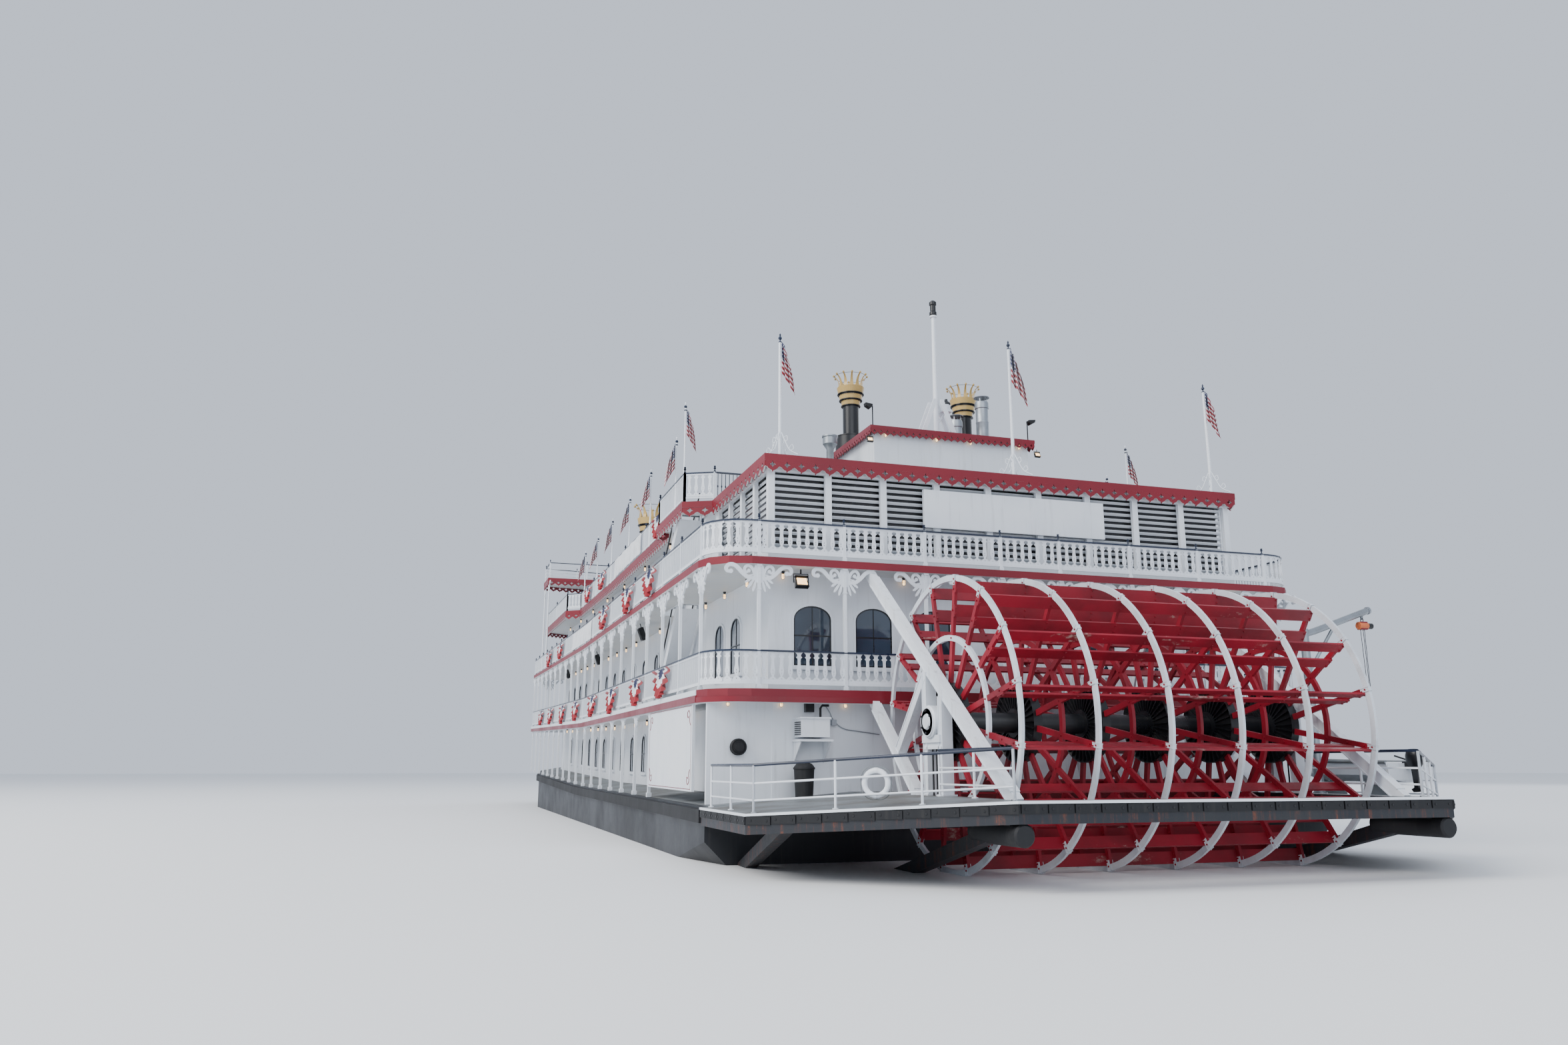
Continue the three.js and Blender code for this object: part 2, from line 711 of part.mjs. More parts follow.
const slatInset = LOUVRE.depth + GAP;
const slatPitch = (LOUVRE.head - LOUVRE.sill) / LOUVRE.slats;
const slatPlan = uPlan(slatInset, LOUVRE.slat.deep, LOUVRE.fore);
const slats = join([
  places(LOUVRE.sill + slatPitch / 2, LOUVRE.slats, slatPitch).map((z) =>
    prism(slatPlan, z - LOUVRE.slat.high / 2, z + LOUVRE.slat.high / 2),
  ),
  mirrored([
    box(
      LOUVRE.aft + slatInset,
      LOUVRE.aft + slatInset + LOUVRE.slat.deep,
      LOUVRE.half - slatInset - LOUVRE.slat.deep,
      LOUVRE.half - slatInset,
      LOUVRE.sill,
      LOUVRE.head,
    ),
  ]),
]);
node("louvre_slats", slats, paint(WHITE));

const deck3House = house({
  aft: LOUVRE.fore + GAP,
  fore: 54.5 * M,
  half: LOUVRE.half,
  floor: onDeck(DECK_3),
  ceiling: underRoof,
  sideWindows: places(19.4, 12, 2.79).map((x) =>
    archedWindow(x * M, 0.9 * M, DECK_3 + 0.75 * M, DECK_3 + 2.45 * M),
  ),
  endWindows: [],
});
node("deck_3_house", deck3House.walls, paint(WHITE));
node("deck_3_house_glass", deck3House.glass, paint(GLASS, 0.1));

// Roof deck with its scalloped fascia, and the rail with its row of flagpoles.

const roofEdge = 0.05 * M;
const roofPlate = join([
  prism(roofOutline(0), ROOF_DECK - DECK_THICK, ROOF_DECK),
  ring(roofOutline, 0, roofEdge, ROOF_DECK - ROOF.fascia, ROOF_DECK - DECK_THICK / 2),
]);
node("roof_deck", withWells(roofPlate, ROOF_DECK), paint(CRIMSON));

const TEXAS = {
  aft: 8.95 * M,
  fore: 16.2 * M,
  half: 3.0 * M,
  top: 10.35 * M,
  eave: 0.2 * M,
  fascia: 0.3 * M,
};
const FLAG = { width: 0.5 * M, drop: 1.15 * M, below: 0.1 * M };
const limpFlag = (x, y, top, drop = FLAG.drop, thick = RAIL.wide) =>
  box(x - FLAG.width, x, y - thick / 2, y + thick / 2, top - FLAG.below - drop, top - FLAG.below);
const poleIn = RAIL.inset + RAIL.wide / 2;
const polePlaces = [
  [ROOF.jog[1] + 0.2 * M, ROOF.landing[1] - poleIn, 3.7 * M],
  [ROOF.jog[1] + 1.6 * M, ROOF.landing[1] - poleIn, 2.8 * M],
  ...places(20.5 * M, 5, 5.28 * M).map((x) => [x, ROOF.midHalf - poleIn, 3.48 * M]),
];
const roofRail = join([
  railing((inset) => roofOutline(inset, ROOF.jog[0]), onDeck(ROOF_DECK)),
  mirrored(
    polePlaces.flatMap(([x, y, height]) => [
      post(x, y, onDeck(ROOF_DECK), ROOF_DECK + height),
      limpFlag(x, y, ROOF_DECK + height),
    ]),
  ),
]).subtract(
  box(TEXAS.aft, TEXAS.fore, -TEXAS.half - 0.3 * M, TEXAS.half + 0.3 * M, ROOF_DECK, ROOF_DECK + 2 * M),
);
node("roof_rail", roofRail, paint(WHITE));

// Texas house and its roof.

const texas = house({
  aft: TEXAS.aft,
  fore: TEXAS.fore,
  half: TEXAS.half,
  floor: onDeck(ROOF_DECK),
  ceiling: TEXAS.top - GAP,
  sideWindows: [],
  endWindows: [],
});
node("texas_house", texas.walls, paint(WHITE));
const texasRoofOutline = (inset) => {
  const out = TEXAS.eave - inset;
  return rectangle(TEXAS.aft - out, TEXAS.fore + out, TEXAS.half + out);
};
const texasRoof = join([
  prism(texasRoofOutline(0), TEXAS.top, TEXAS.top + 0.15 * M),
  ring(texasRoofOutline, 0, 0.05 * M, TEXAS.top - TEXAS.fascia + 0.15 * M, TEXAS.top + 0.05 * M),
]);
node("texas_roof", texasRoof, paint(CRIMSON));

// Stairs: stringers and treads.

// One flight: treads and risers on a sloping soffit, going up towards the stern.
function stair(floor, rise) {
  const foot = STAIR.head + STAIR.run;
  const [going, riser] = [(STAIR.run - 0.3 * M) / STAIR.steps, rise / STAIR.steps];
  const nosings = Array.from({ length: STAIR.steps }, (_, i) => [
    [foot - i * going, floor + i * riser],
    [foot - i * going, floor + (i + 1) * riser],
  ]).flat();
  const soffit = [
    [STAIR.head + 0.3 * M, floor + rise],
    [STAIR.head + 0.3 * M, floor + rise - 0.35 * M],
    [foot - 0.35 * M, floor],
  ];
  return sidePlate([...nosings, ...soffit], STAIR.outer - STAIR.wide, STAIR.outer);
}
const stairs = [
  ["deck_2", stair(onDeck(DECK_2), DECK_3 - DECK_2 - GAP)],
  ["deck_3", stair(onDeck(DECK_3), ROOF_DECK - DECK_3 - GAP)],
];
for (const [deck, body] of stairs) {
  node(deck + "_stair_port", body, paint(NAVY));
  node(deck + "_stair_starboard", body.mirror([0, 1, 0]), paint(NAVY));
}

// Bridge: house below, deck with wings, pilothouse, roof.

const BRIDGE = {
  aft: 50 * M,
  fore: 57 * M,
  half: 10.05 * M,
  houseAft: 45 * M,
  houseFore: 55.4 * M,
  houseHalf: 4.6 * M,
  wingFore: 53 * M,
  noseHalf: 5.6 * M,
  eave: 0.3 * M,
};
const bridgeHouse = house({
  aft: BRIDGE.houseAft,
  fore: BRIDGE.houseFore,
  half: BRIDGE.houseHalf,
  floor: onDeck(ROOF_DECK),
  ceiling: BRIDGE_DECK - DECK_THICK - GAP,
  sideWindows: places(47 * M, 3, 2.8 * M).map((x) =>
    squareWindow(x, 0.9 * M, ROOF_DECK + 1.1 * M, ROOF_DECK + 2.2 * M),
  ),
  endWindows: [],
});
node("bridge_house", bridgeHouse.walls, paint(WHITE));
node("bridge_house_glass", bridgeHouse.glass, paint(GLASS, 0.1));
const bridgeOutline = (inset) => [
  [BRIDGE.aft + inset, -BRIDGE.half + inset],
  [BRIDGE.wingFore - inset, -BRIDGE.half + inset],
  [BRIDGE.wingFore - inset + 1.2 * M, -BRIDGE.noseHalf + inset],
  [BRIDGE.fore - inset, -BRIDGE.noseHalf + inset],
  [BRIDGE.fore - inset, BRIDGE.noseHalf - inset],
  [BRIDGE.wingFore - inset + 1.2 * M, BRIDGE.noseHalf - inset],
  [BRIDGE.wingFore - inset, BRIDGE.half - inset],
  [BRIDGE.aft + inset, BRIDGE.half - inset],
];
const bridgeDeck = join([
  prism(bridgeOutline(0), BRIDGE_DECK - DECK_THICK, BRIDGE_DECK),
  prism(
    rectangle(BRIDGE.houseAft - BRIDGE.eave, BRIDGE.aft + BRIDGE.eave, BRIDGE.houseHalf + BRIDGE.eave),
    BRIDGE_DECK - DECK_THICK,
    BRIDGE_DECK,
  ),
]);
node("bridge_deck", bridgeDeck, paint(CRIMSON));
node("bridge_rail", railing(bridgeOutline, onDeck(BRIDGE_DECK)), paint(WHITE));

const PILOT = { aft: 50.8 * M, fore: 55.6 * M, half: 2.7 * M, top: 13.4 * M, eave: 0.5 * M };
const PILOT_WINDOW = [BRIDGE_DECK + 1.1 * M, BRIDGE_DECK + 2.2 * M];
const DOOR = { wide: 0.8 * M, high: 2.0 * M, thick: 0.06 * M, inset: 0.1 * M, x: 51.3 * M, gap: 0.025 * M };
const doorHole = squareWindow(
  DOOR.x + DOOR.wide / 2,
  DOOR.wide + 2 * DOOR.gap,
  onDeck(BRIDGE_DECK) + DOOR.gap,
  BRIDGE_DECK + DOOR.high + 2 * DOOR.gap,
);
const pilot = house({
  aft: PILOT.aft,
  fore: PILOT.fore,
  half: PILOT.half,
  floor: onDeck(BRIDGE_DECK),
  ceiling: PILOT.top - GAP,
  sideWindows: [
    squareWindow(53.3 * M, 1.3 * M, ...PILOT_WINDOW),
    squareWindow(54.75 * M, 1.1 * M, ...PILOT_WINDOW),
    doorHole,
  ],
  endWindows: [-1.7, 0, 1.7].map((y) => squareWindow(y * M, 1.4 * M, ...PILOT_WINDOW)),
});
const glassCut = box(
  DOOR.x - 0.2 * M,
  DOOR.x + DOOR.wide + 0.2 * M,
  -4 * M,
  4 * M,
  BRIDGE_DECK - M,
  PILOT.top - 0.3 * M,
);
node("pilothouse", pilot.walls, paint(WHITE));
node("pilothouse_glass", pilot.glass.subtract(glassCut), paint(GLASS, 0.1));
const pilotRoofOutline = (inset) => {
  const out = PILOT.eave - inset;
  return rectangle(PILOT.aft - out, PILOT.fore + out, PILOT.half + out);
};
const cupola = [
  [0, PILOT.top + 0.1 * M],
  [1.0 * M, PILOT.top + 0.1 * M],
  [0.8 * M, PILOT.top + 0.5 * M],
  [0.25 * M, PILOT.top + 0.9 * M],
  [0, PILOT.top + 1.4 * M],
];
node(
  "pilothouse_roof",
  join([
    prism(pilotRoofOutline(0), PILOT.top, PILOT.top + 0.15 * M),
    ring(pilotRoofOutline, 0, 0.05 * M, PILOT.top - 0.2 * M, PILOT.top + 0.05 * M),
    turned(cupola, 53.2 * M, 0, 12),
  ]),
  paint(CRIMSON),
);
const doorFace = PILOT.half - DOOR.inset + DOOR.thick;
const [doorFoot, doorHead] = [BRIDGE_DECK + 2 * DOOR.gap, BRIDGE_DECK + DOOR.high];
const door = join([
  box(DOOR.x, DOOR.x + DOOR.wide, PILOT.half - DOOR.inset, doorFace, doorFoot, doorHead),
  rod(
    [DOOR.x, doorFace, doorFoot + DOOR.gap],
    [DOOR.x, doorFace, doorHead - DOOR.gap],
    DOOR.gap - 2 * GAP,
    8,
  ),
]);
node("pilothouse_door_port", door, paint(WHITE));
node("pilothouse_door_starboard", door.mirror([0, 1, 0]), paint(WHITE));

// Chimneys with crowns.

function chimney({ x, y, foot, base, radius, neck, crown, crownRadius, prongs }) {
  const r = radius;
  const body = turned(
    [
      [0, foot],
      [1.75 * r, foot],
      [1.75 * r, foot + base],
      [r, foot + base],
      [r, neck],
      [1.45 * r, neck + 0.3 * r],
      [1.55 * r, neck + 1.8 * r],
      [0.85 * r, neck + 1.8 * r],
      [0.85 * r, neck],
      [0, neck],
    ],
    x,
    y,
    8,
  );
  const points = Array.from({ length: prongs }, (_, i) => {
    const angle = (2 * Math.PI * (i + 0.5)) / prongs;
    const [c, s] = [Math.cos(angle), Math.sin(angle)];
    const low = 1.3 * r;
    return beam(
      [x + low * c, y + low * s, neck + 1.6 * r],
      [x + crownRadius * c, y + crownRadius * s, crown],
      0.16 * r,
      0.16 * r,
    );
  });
  return join([body, points]);
}
const AFT_CHIMNEY = {
  x: 12.7 * M,
  y: 2.4 * M,
  foot: TEXAS.top + 0.15 * M + GAP,
  base: 0.55 * M,
  radius: 0.31 * M,
  neck: 12.45 * M,
  crown: 13.68 * M,
  crownRadius: 0.79 * M,
  prongs: 8,
};
const FORE_CHIMNEY = {
  x: 42 * M,
  y: 4.6 * M,
  foot: onDeck(ROOF_DECK),
  base: 0.7 * M,
  radius: 0.51 * M,
  neck: 12.57 * M,
  crown: 14.62 * M,
  crownRadius: 1.25 * M,
  prongs: 8,
};
for (const [name, sizes] of [["aft_chimney", AFT_CHIMNEY], ["forward_chimney", FORE_CHIMNEY]]) {
  const body = chimney(sizes);
  node(name + "_port", body, paint(BLACK, 0.4));
  node(name + "_starboard", body.mirror([0, 1, 0]), paint(BLACK, 0.4));
}

// Roof gear: vents, mast, stern flagpoles.

const texasRoofTop = TEXAS.top + 0.15 * M + GAP;
const vent = (x, y, r, top) =>
  turned(
    [
      [0, texasRoofTop],
      [r, texasRoofTop],
      [r, top - 0.5 * r],
      [0.3 * r, top - 0.45 * r],
      [0.3 * r, top - 0.3 * r],
      [1.25 * r, top - 0.3 * r],
      [0.9 * r, top],
      [0, top],
    ],
    x,
    y,
    12,
  );
node("vent_large", vent(11.2 * M, -2.42 * M, 0.3 * M, 12.85 * M), paint(STEEL, 0.4, 0.8));
node("vent_small", vent(11.2 * M, -1.3 * M, 0.27 * M, 12.0 * M), paint(STEEL, 0.4, 0.8));

const MAST = {
  x: 10.2 * M,
  radius: 0.09 * M,
  lamp: 15.4 * M,
  lampRadius: 0.14 * M,
  top: 16.1 * M,
  spread: 0.7 * M,
  brace: 12.1 * M,
  plate: 0.3 * M,
};
const mast = join([
  rod([MAST.x, 0, texasRoofTop], [MAST.x, 0, MAST.lamp], MAST.radius, 8),
  rod([MAST.x, 0, MAST.lamp - 0.1 * M], [MAST.x, 0, MAST.top], MAST.lampRadius, 8),
  [1, -1].map((side) =>
    beam(
      [MAST.x, side * MAST.spread, texasRoofTop + MAST.radius / 2],
      [MAST.x, side * MAST.radius, MAST.brace],
      MAST.radius,
      MAST.radius,
    ),
  ),
  box(
    MAST.x - MAST.plate,
    MAST.x + MAST.plate,
    -MAST.spread - MAST.radius,
    MAST.spread + MAST.radius,
    texasRoofTop,
    texasRoofTop + MAST.radius,
  ),
]);
node("mast", mast, paint(WHITE));

const STERN_POLE = { wide: 0.1 * M, spread: 0.35 * M, brace: 0.75 * M, stay: 0.04 * M, flag: 1.5 * M };
const stay = (x, y, dx, dy) =>
  beam(
    [x + dx, y + dy, onDeck(ROOF_DECK) + STERN_POLE.stay / 2],
    [x, y, ROOF_DECK + STERN_POLE.brace],
    STERN_POLE.stay,
    STERN_POLE.stay,
  );
const sternPole = (x, y, top) =>
  join([
    post(x, y, onDeck(ROOF_DECK), top, STERN_POLE.wide),
    [
      [0, STERN_POLE.spread],
      [0, -STERN_POLE.spread],
      [STERN_POLE.spread, 0],
      [-STERN_POLE.spread, 0],
    ].map(([dx, dy]) => stay(x, y, dx, dy)),
    limpFlag(x, y, top, STERN_POLE.flag, STERN_POLE.wide),
  ]);
node("flagpole_port", sternPole(5.0 * M, 7.65 * M, 11.85 * M), paint(WHITE));
node("flagpole_starboard", sternPole(5.0 * M, -7.65 * M, 11.85 * M), paint(WHITE));
node("flagpole_centre", sternPole(5.0 * M, -0.16 * M, 12.55 * M), paint(WHITE));

// Blank sign boards: one on the louvres, one on each side of the main deck.
const sign = box(LOUVRE.aft - 0.12 * M, LOUVRE.aft - GAP, -3.15 * M, 3.15 * M, 6.02 * M, 7.2 * M);
node("sign_stern", sign, paint(WHITE));
const SIDE_SIGN = { middle: 8.95 * M, length: 6.5 * M, foot: MAIN_DECK, inner: 0.12 * M, outer: 0.04 * M };
const sideSign = box(
  SIDE_SIGN.middle - SIDE_SIGN.length / 2,
  SIDE_SIGN.middle + SIDE_SIGN.length / 2,
  HALF_BEAM - SIDE_SIGN.inner,
  HALF_BEAM - SIDE_SIGN.outer,
  SIDE_SIGN.foot,
  underDeck2 - HEADER - GAP,
);
node("sign_port", standing(sideSign), paint(WHITE));
node("sign_starboard", standing(sideSign.mirror([0, 1, 0])), paint(WHITE));

// Wheel carriers: the long raking timber, the V under deck 2, and the twin posts with the bearing.

const CARRIER = { y: 5.17 * M, wide: 0.2 * M, deep: 0.27 * M, armDeep: 0.24 * M, post: 0.22 * M };
const BEARING = {
  inner: 5.0 * M,
  outer: 5.42 * M,
  bore: 5.24 * M,
  radius: 0.36 * M,
  running: 1.1,
  sides: 24,
};
function carrier() {
  const y = CARRIER.y;
  const decksOver = [DECK_2, DECK_3].map((top) =>
    box(DECK_AFT - GAP, 8 * M, 4 * M, 7 * M, top - DECK_THICK - GAP, top + 0.5 * M),
  );
  return join([
    beam([4.2 * M, y, 4.4 * M], [-3.9 * M, y, MAIN_DECK - 0.08 * M], CARRIER.wide, CARRIER.deep),
    beam([4.3 * M, y, 0.94 * M], [1.02 * M, y, MAIN_DECK - 0.1 * M], CARRIER.wide, CARRIER.armDeep),
    beam([0.3 * M, y, 1.31 * M], [2.3 * M, y, -0.75 * M], CARRIER.wide, CARRIER.armDeep),
    post(-0.5 * M, y, MAIN_DECK, 0.75 * M, CARRIER.post),
    post(0.37 * M, y, MAIN_DECK, 1.4 * M, CARRIER.post),
    box(-0.5 * M, 0.4 * M, y - CARRIER.post / 2, y + CARRIER.post / 2, -0.62 * M, -0.32 * M),
  ])
    .subtract(belowFeet)
    .subtract(join(decksOver))
    .add(rod([0, BEARING.inner, 0], [0, BEARING.outer, 0], BEARING.radius, 16))
    .subtract(rod([0, 4 * M, 0], [0, BEARING.bore, 0], WHEEL.journal + BEARING.running, BEARING.sides));
}
const carrierPort = carrier();
node("wheel_carrier_port", carrierPort, paint(WHITE), { sheered: false });
node("wheel_carrier_starboard", carrierPort.mirror([0, 1, 0]), paint(WHITE), { sheered: false });

// Davit with its hoist, and the rescue boat on the starboard quarter.

const DAVIT = {
  ...DAVIT_PLACE,
  radius: 0.13 * M,
  knee: 2.75 * M,
  top: 2.9 * M,
  armRadius: 0.11 * M,
  armTop: 3.55 * M,
  reach: 2.45 * M,
  hoist: [3.0 * M, 3.32 * M],
  hook: 0.35 * M,
};
const hoistY = DAVIT.y - DAVIT.reach + 0.25 * M;
const davit = join([
  rod([DAVIT.x, DAVIT.y, PLINTH.top + GAP], [DAVIT.x, DAVIT.y, DAVIT.top], DAVIT.radius, 10),
  rod(
    [DAVIT.x, DAVIT.y + DAVIT.radius, DAVIT.knee],
    [DAVIT.x, DAVIT.y - DAVIT.reach, DAVIT.armTop],
    DAVIT.armRadius,
    10,
  ),
  box(DAVIT.x - 0.16 * M, DAVIT.x + 0.16 * M, hoistY - 0.2 * M, hoistY + 0.2 * M, ...DAVIT.hoist),
  rod([DAVIT.x, hoistY, DAVIT.hook], [DAVIT.x, hoistY, DAVIT.armTop - 0.1 * M], 0.035 * M, 6),
]);
node("davit", davit, paint(WHITE), { sheered: false });

const TENDER = {
  x0: -0.7 * M,
  x1: 3.4 * M,
  y: -8.7 * M,
  half: 0.75 * M,
  floor: -1.5 * M,
  rail: -0.95 * M,
  wall: 0.12 * M,
  stem: 1.3 * M,
  cradles: [-0.2 * M, 1.8 * M],
};
const tenderOutline = (inset) => [
  [TENDER.x0 + inset, TENDER.y - TENDER.half + inset],
  [TENDER.x1 - TENDER.stem, TENDER.y - TENDER.half + inset],
  [TENDER.x1 - inset * 2, TENDER.y],
  [TENDER.x1 - TENDER.stem, TENDER.y + TENDER.half - inset],
  [TENDER.x0 + inset, TENDER.y + TENDER.half - inset],
];
// A block on the middle line of the boat, from x0 to x1.
const onTender = (x0, x1, half, z0, z1) =>
  box(TENDER.x0 + x0, TENDER.x0 + x1, TENDER.y - half, TENDER.y + half, z0, z1);
const tender = join([
  prism(tenderOutline(0), TENDER.floor, TENDER.rail).subtract(
    prism(tenderOutline(TENDER.wall), TENDER.floor + TENDER.wall, TENDER.rail + M),
  ),
  TENDER.cradles.map((x) => post(x, TENDER.y, MAIN_DECK - M, TENDER.floor + 0.02 * M, 0.9 * M)),
]);
const outboard = join([
  onTender(-0.5 * M, -0.05 * M, 0.17 * M, -0.85 * M, -0.4 * M),
  onTender(-0.32 * M, -0.14 * M, 0.07 * M, -1.7 * M, -0.8 * M),
  onTender(-0.2 * M, 0.05 * M, 0.12 * M, -1.25 * M, -0.95 * M),
]);
node("rescue_boat", standing(tender.add(outboard)), paint(WHITE), { sheered: false });

// Paddle wheel.

const wheel = new THREE.Group();
boat.add(wheel);
const onWheel = { sheered: false, parent: wheel };

// A point of the wheel's side view, at a radius and an angle from the arm.
const polar = (radius, angle) => [radius * Math.cos(angle), radius * Math.sin(angle)];
const bay = (2 * Math.PI) / WHEEL.arms;
const SHAFT_SIDES = 12;

// The open bay between two arms, from one ring to the next.
function bayHole(k, inner, outer, armWide) {
  const start = WHEEL.phase + k * bay;
  const edge = (radius) => Math.asin(armWide / 2 / radius);
  return [
    polar(outer, start + edge(outer)),
    polar(outer, start + bay - edge(outer)),
    polar(inner, start + bay - edge(inner)),
    polar(inner, start + edge(inner)),
  ];
}

function wheelFrame(y, armWide = WHEEL.armWide) {
  const rimOuter = WHEEL.radius + WHEEL.rimDepth / 2;
  const rimInner = WHEEL.radius - WHEEL.rimDepth / 2;
  const ringIn = WHEEL.ringRadius - WHEEL.ringDepth / 2;
  const ringOut = WHEEL.ringRadius + WHEEL.ringDepth / 2;
  const rimSteps = 2 * WHEEL.arms;
  const outline = Array.from({ length: rimSteps }, (_, i) => polar(rimOuter, WHEEL.phase + (i * bay) / 2));
  const holes = [];
  for (let k = 0; k < WHEEL.arms; k++) {
    holes.push(bayHole(k, ringOut, rimInner, armWide));
    holes.push(bayHole(k, WHEEL.hubRadius * 0.9, ringIn, armWide));
  }
  const half = WHEEL.frameThick / 2;
  return sidePlate(outline, y - half, y + half, holes)
    .add(rod([0, y - WHEEL.hubThick / 2, 0], [0, y + WHEEL.hubThick / 2, 0], WHEEL.hubRadius, 12))
    .subtract(rod([0, y - M, 0], [0, y + M, 0], WHEEL.shaftRadius + GAP, SHAFT_SIDES));
}

const shaftBody = WHEEL.shaftHalf - 0.22 * M;
const shaft = join([
  rod([0, -shaftBody, 0], [0, shaftBody, 0], WHEEL.shaftRadius, SHAFT_SIDES),
  rod([0, -WHEEL.shaftHalf, 0], [0, WHEEL.shaftHalf, 0], WHEEL.journal, 16),
]);
node("wheel_shaft", shaft, paint(BLACK, 0.3), onWheel);

// A bucket: two boards that lie on the faces of one row of arms. The end frames carry all the buckets;
// the boards pass the frames between them with a gap.
const framePlaces = places((-(WHEEL.frames - 1) / 2) * WHEEL.framePitch, WHEEL.frames, WHEEL.framePitch);
const boardFace = WHEEL.armWide / 2 + GAP;
const endY = framePlaces.at(-1);
const boardHalf = endY + WHEEL.frameThick / 2;
const boards = WHEEL.boardInner.map((r) =>
  box(r, r + WHEEL.boardWide, -boardHalf, boardHalf, boardFace, boardFace + WHEEL.boardThick),
);
const bucket = join(boards);
const buckets = Array.from({ length: WHEEL.arms }, (_, k) =>
  bucket.rotate([0, -THREE.MathUtils.radToDeg(WHEEL.phase + k * bay), 0]),
);
framePlaces
  .slice(1, -1)
  .forEach((y, i) => node("wheel_frame_" + (i + 2), wheelFrame(y), paint(WHEEL_RED), onWheel));
const endFrames = [-endY, endY].map((y) => wheelFrame(y, WHEEL.endArmWide));
node("wheel_end_frames_and_buckets", join([endFrames, buckets]), paint(WHEEL_RED), onWheel);

// The part's own frame: origin under the middle of the boat, on the hull's flat bottom.
const bounds = new THREE.Box3().setFromObject(boat);
const middle = (bounds.min.x + bounds.max.x) / 2;
boat.position.set(-middle, 0, -KEEL);

export default boat;
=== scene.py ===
import math
import random

import bmesh
import bpy
import numpy as np
from mathutils import Matrix, Vector
from mathutils.geometry import tessellate_polygon


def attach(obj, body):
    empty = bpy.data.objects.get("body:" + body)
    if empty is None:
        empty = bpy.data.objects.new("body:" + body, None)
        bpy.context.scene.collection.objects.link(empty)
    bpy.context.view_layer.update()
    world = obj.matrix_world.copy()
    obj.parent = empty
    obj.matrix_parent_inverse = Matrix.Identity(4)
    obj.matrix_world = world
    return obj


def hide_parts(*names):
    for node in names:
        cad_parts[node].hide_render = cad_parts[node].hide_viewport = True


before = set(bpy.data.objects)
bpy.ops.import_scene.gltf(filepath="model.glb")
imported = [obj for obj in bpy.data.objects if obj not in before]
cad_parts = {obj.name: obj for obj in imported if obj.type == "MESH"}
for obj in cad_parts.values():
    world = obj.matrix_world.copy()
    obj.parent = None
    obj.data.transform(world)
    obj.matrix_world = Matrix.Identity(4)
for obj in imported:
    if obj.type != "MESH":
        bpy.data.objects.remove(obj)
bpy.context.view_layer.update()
random.seed(7)
print("frame loaded")

# All places are metres of the real boat, measured from the wheel's axle: X to the bow, Y to port, Z up.
# onBoat() turns them into the half-size model and adds the decks' rise to the bow.
boat = {
    "scale": 0.5,
    "middle": 14.685,
    "keel": -5.6,
    "mainDeck": -1.77,
    "deck2": 1.007,
    "deck3": 4.675,
    "roof": 7.9,
    "houseTop": 10.502,
    "thick": 0.2175,
    "aft": 3.877,
    "fore": 58.7,
    "half": 10.055,
    "corner": 1.25,
    "sheerAt": (3.877, 30.0, 64.0),
    "sheerRise": (0.0, 0.15, 0.887),
    "camberFrom": 5.67,
    "camber": 0.35,
}
under2, under3, underRoof = (boat[deck] - boat["thick"] for deck in ("deck2", "deck3", "roof"))
hands = ((1, "Port"), (-1, "Starboard"))


def onBoat(points, sheered=True):
    x, y, z = np.asarray(points, float).reshape(-1, 3).T
    lift = np.interp(x, boat["sheerAt"], boat["sheerRise"]) if sheered else 0
    scale = boat["scale"]
    return np.column_stack([x * scale - boat["middle"], y * scale, (z + lift - boat["keel"]) * scale])


# The main deck falls away to its sides.
def mainDeckAt(y):
    beyond = max(0, abs(y) - boat["camberFrom"])
    return boat["mainDeck"] - boat["camber"] * beyond / (boat["half"] - boat["camberFrom"])


# Meshes


class Bit:
    def __init__(self, points, faces, finish=0):
        self.points = np.asarray(points, float).reshape(-1, 3)
        self.faces = [tuple(int(i) for i in f) for f in faces]
        self.finish = [finish] * len(self.faces) if isinstance(finish, int) else list(finish)

    def moved(self, x=0, y=0, z=0):
        return Bit(self.points + (x, y, z), self.faces, self.finish)

    def scaled(self, x=1, y=1, z=1):
        faces = [f[::-1] for f in self.faces] if x * y * z < 0 else self.faces
        return Bit(self.points * (x, y, z), faces, self.finish)

    def turned(self, degrees, axis="Z"):
        turn = np.array(Matrix.Rotation(math.radians(degrees), 3, axis))
        return Bit(self.points @ turn.T, self.faces, self.finish)

    def painted(self, finish):
        return Bit(self.points, self.faces, finish)


def joined(*bits):
    flat = [b for item in bits for b in (item if isinstance(item, (list, tuple)) else [item])]
    faces, finish, start = [], [], 0
    for b in flat:
        faces += [tuple(i + start for i in f) for f in b.faces]
        finish += b.finish
        start += len(b.points)
    return Bit(np.concatenate([b.points for b in flat]), faces, finish)


# One bit at many spots: (x, y, z, turn about Z in degrees).
def repeated(bit, spots):
    return joined([bit.turned(turn).moved(x, y, z) for x, y, z, turn in spots])


def bothSides(*bits):
    bit = joined(*bits)
    return joined(bit, bit.scaled(y=-1))


def block(x0, x1, y0, y1, z0, z1, finish=0):
    points = [(x, y, z) for x in (x0, x1) for y in (y0, y1) for z in (z0, z1)]
    faces = [(0, 1, 3, 2), (4, 6, 7, 5), (0, 4, 5, 1), (2, 3, 7, 6), (0, 2, 6, 4), (1, 5, 7, 3)]
    return Bit(points, faces, finish)


def post(x, y, half, z0, z1, finish=0):
    return block(x - half, x + half, y - half, y + half, z0, z1, finish)


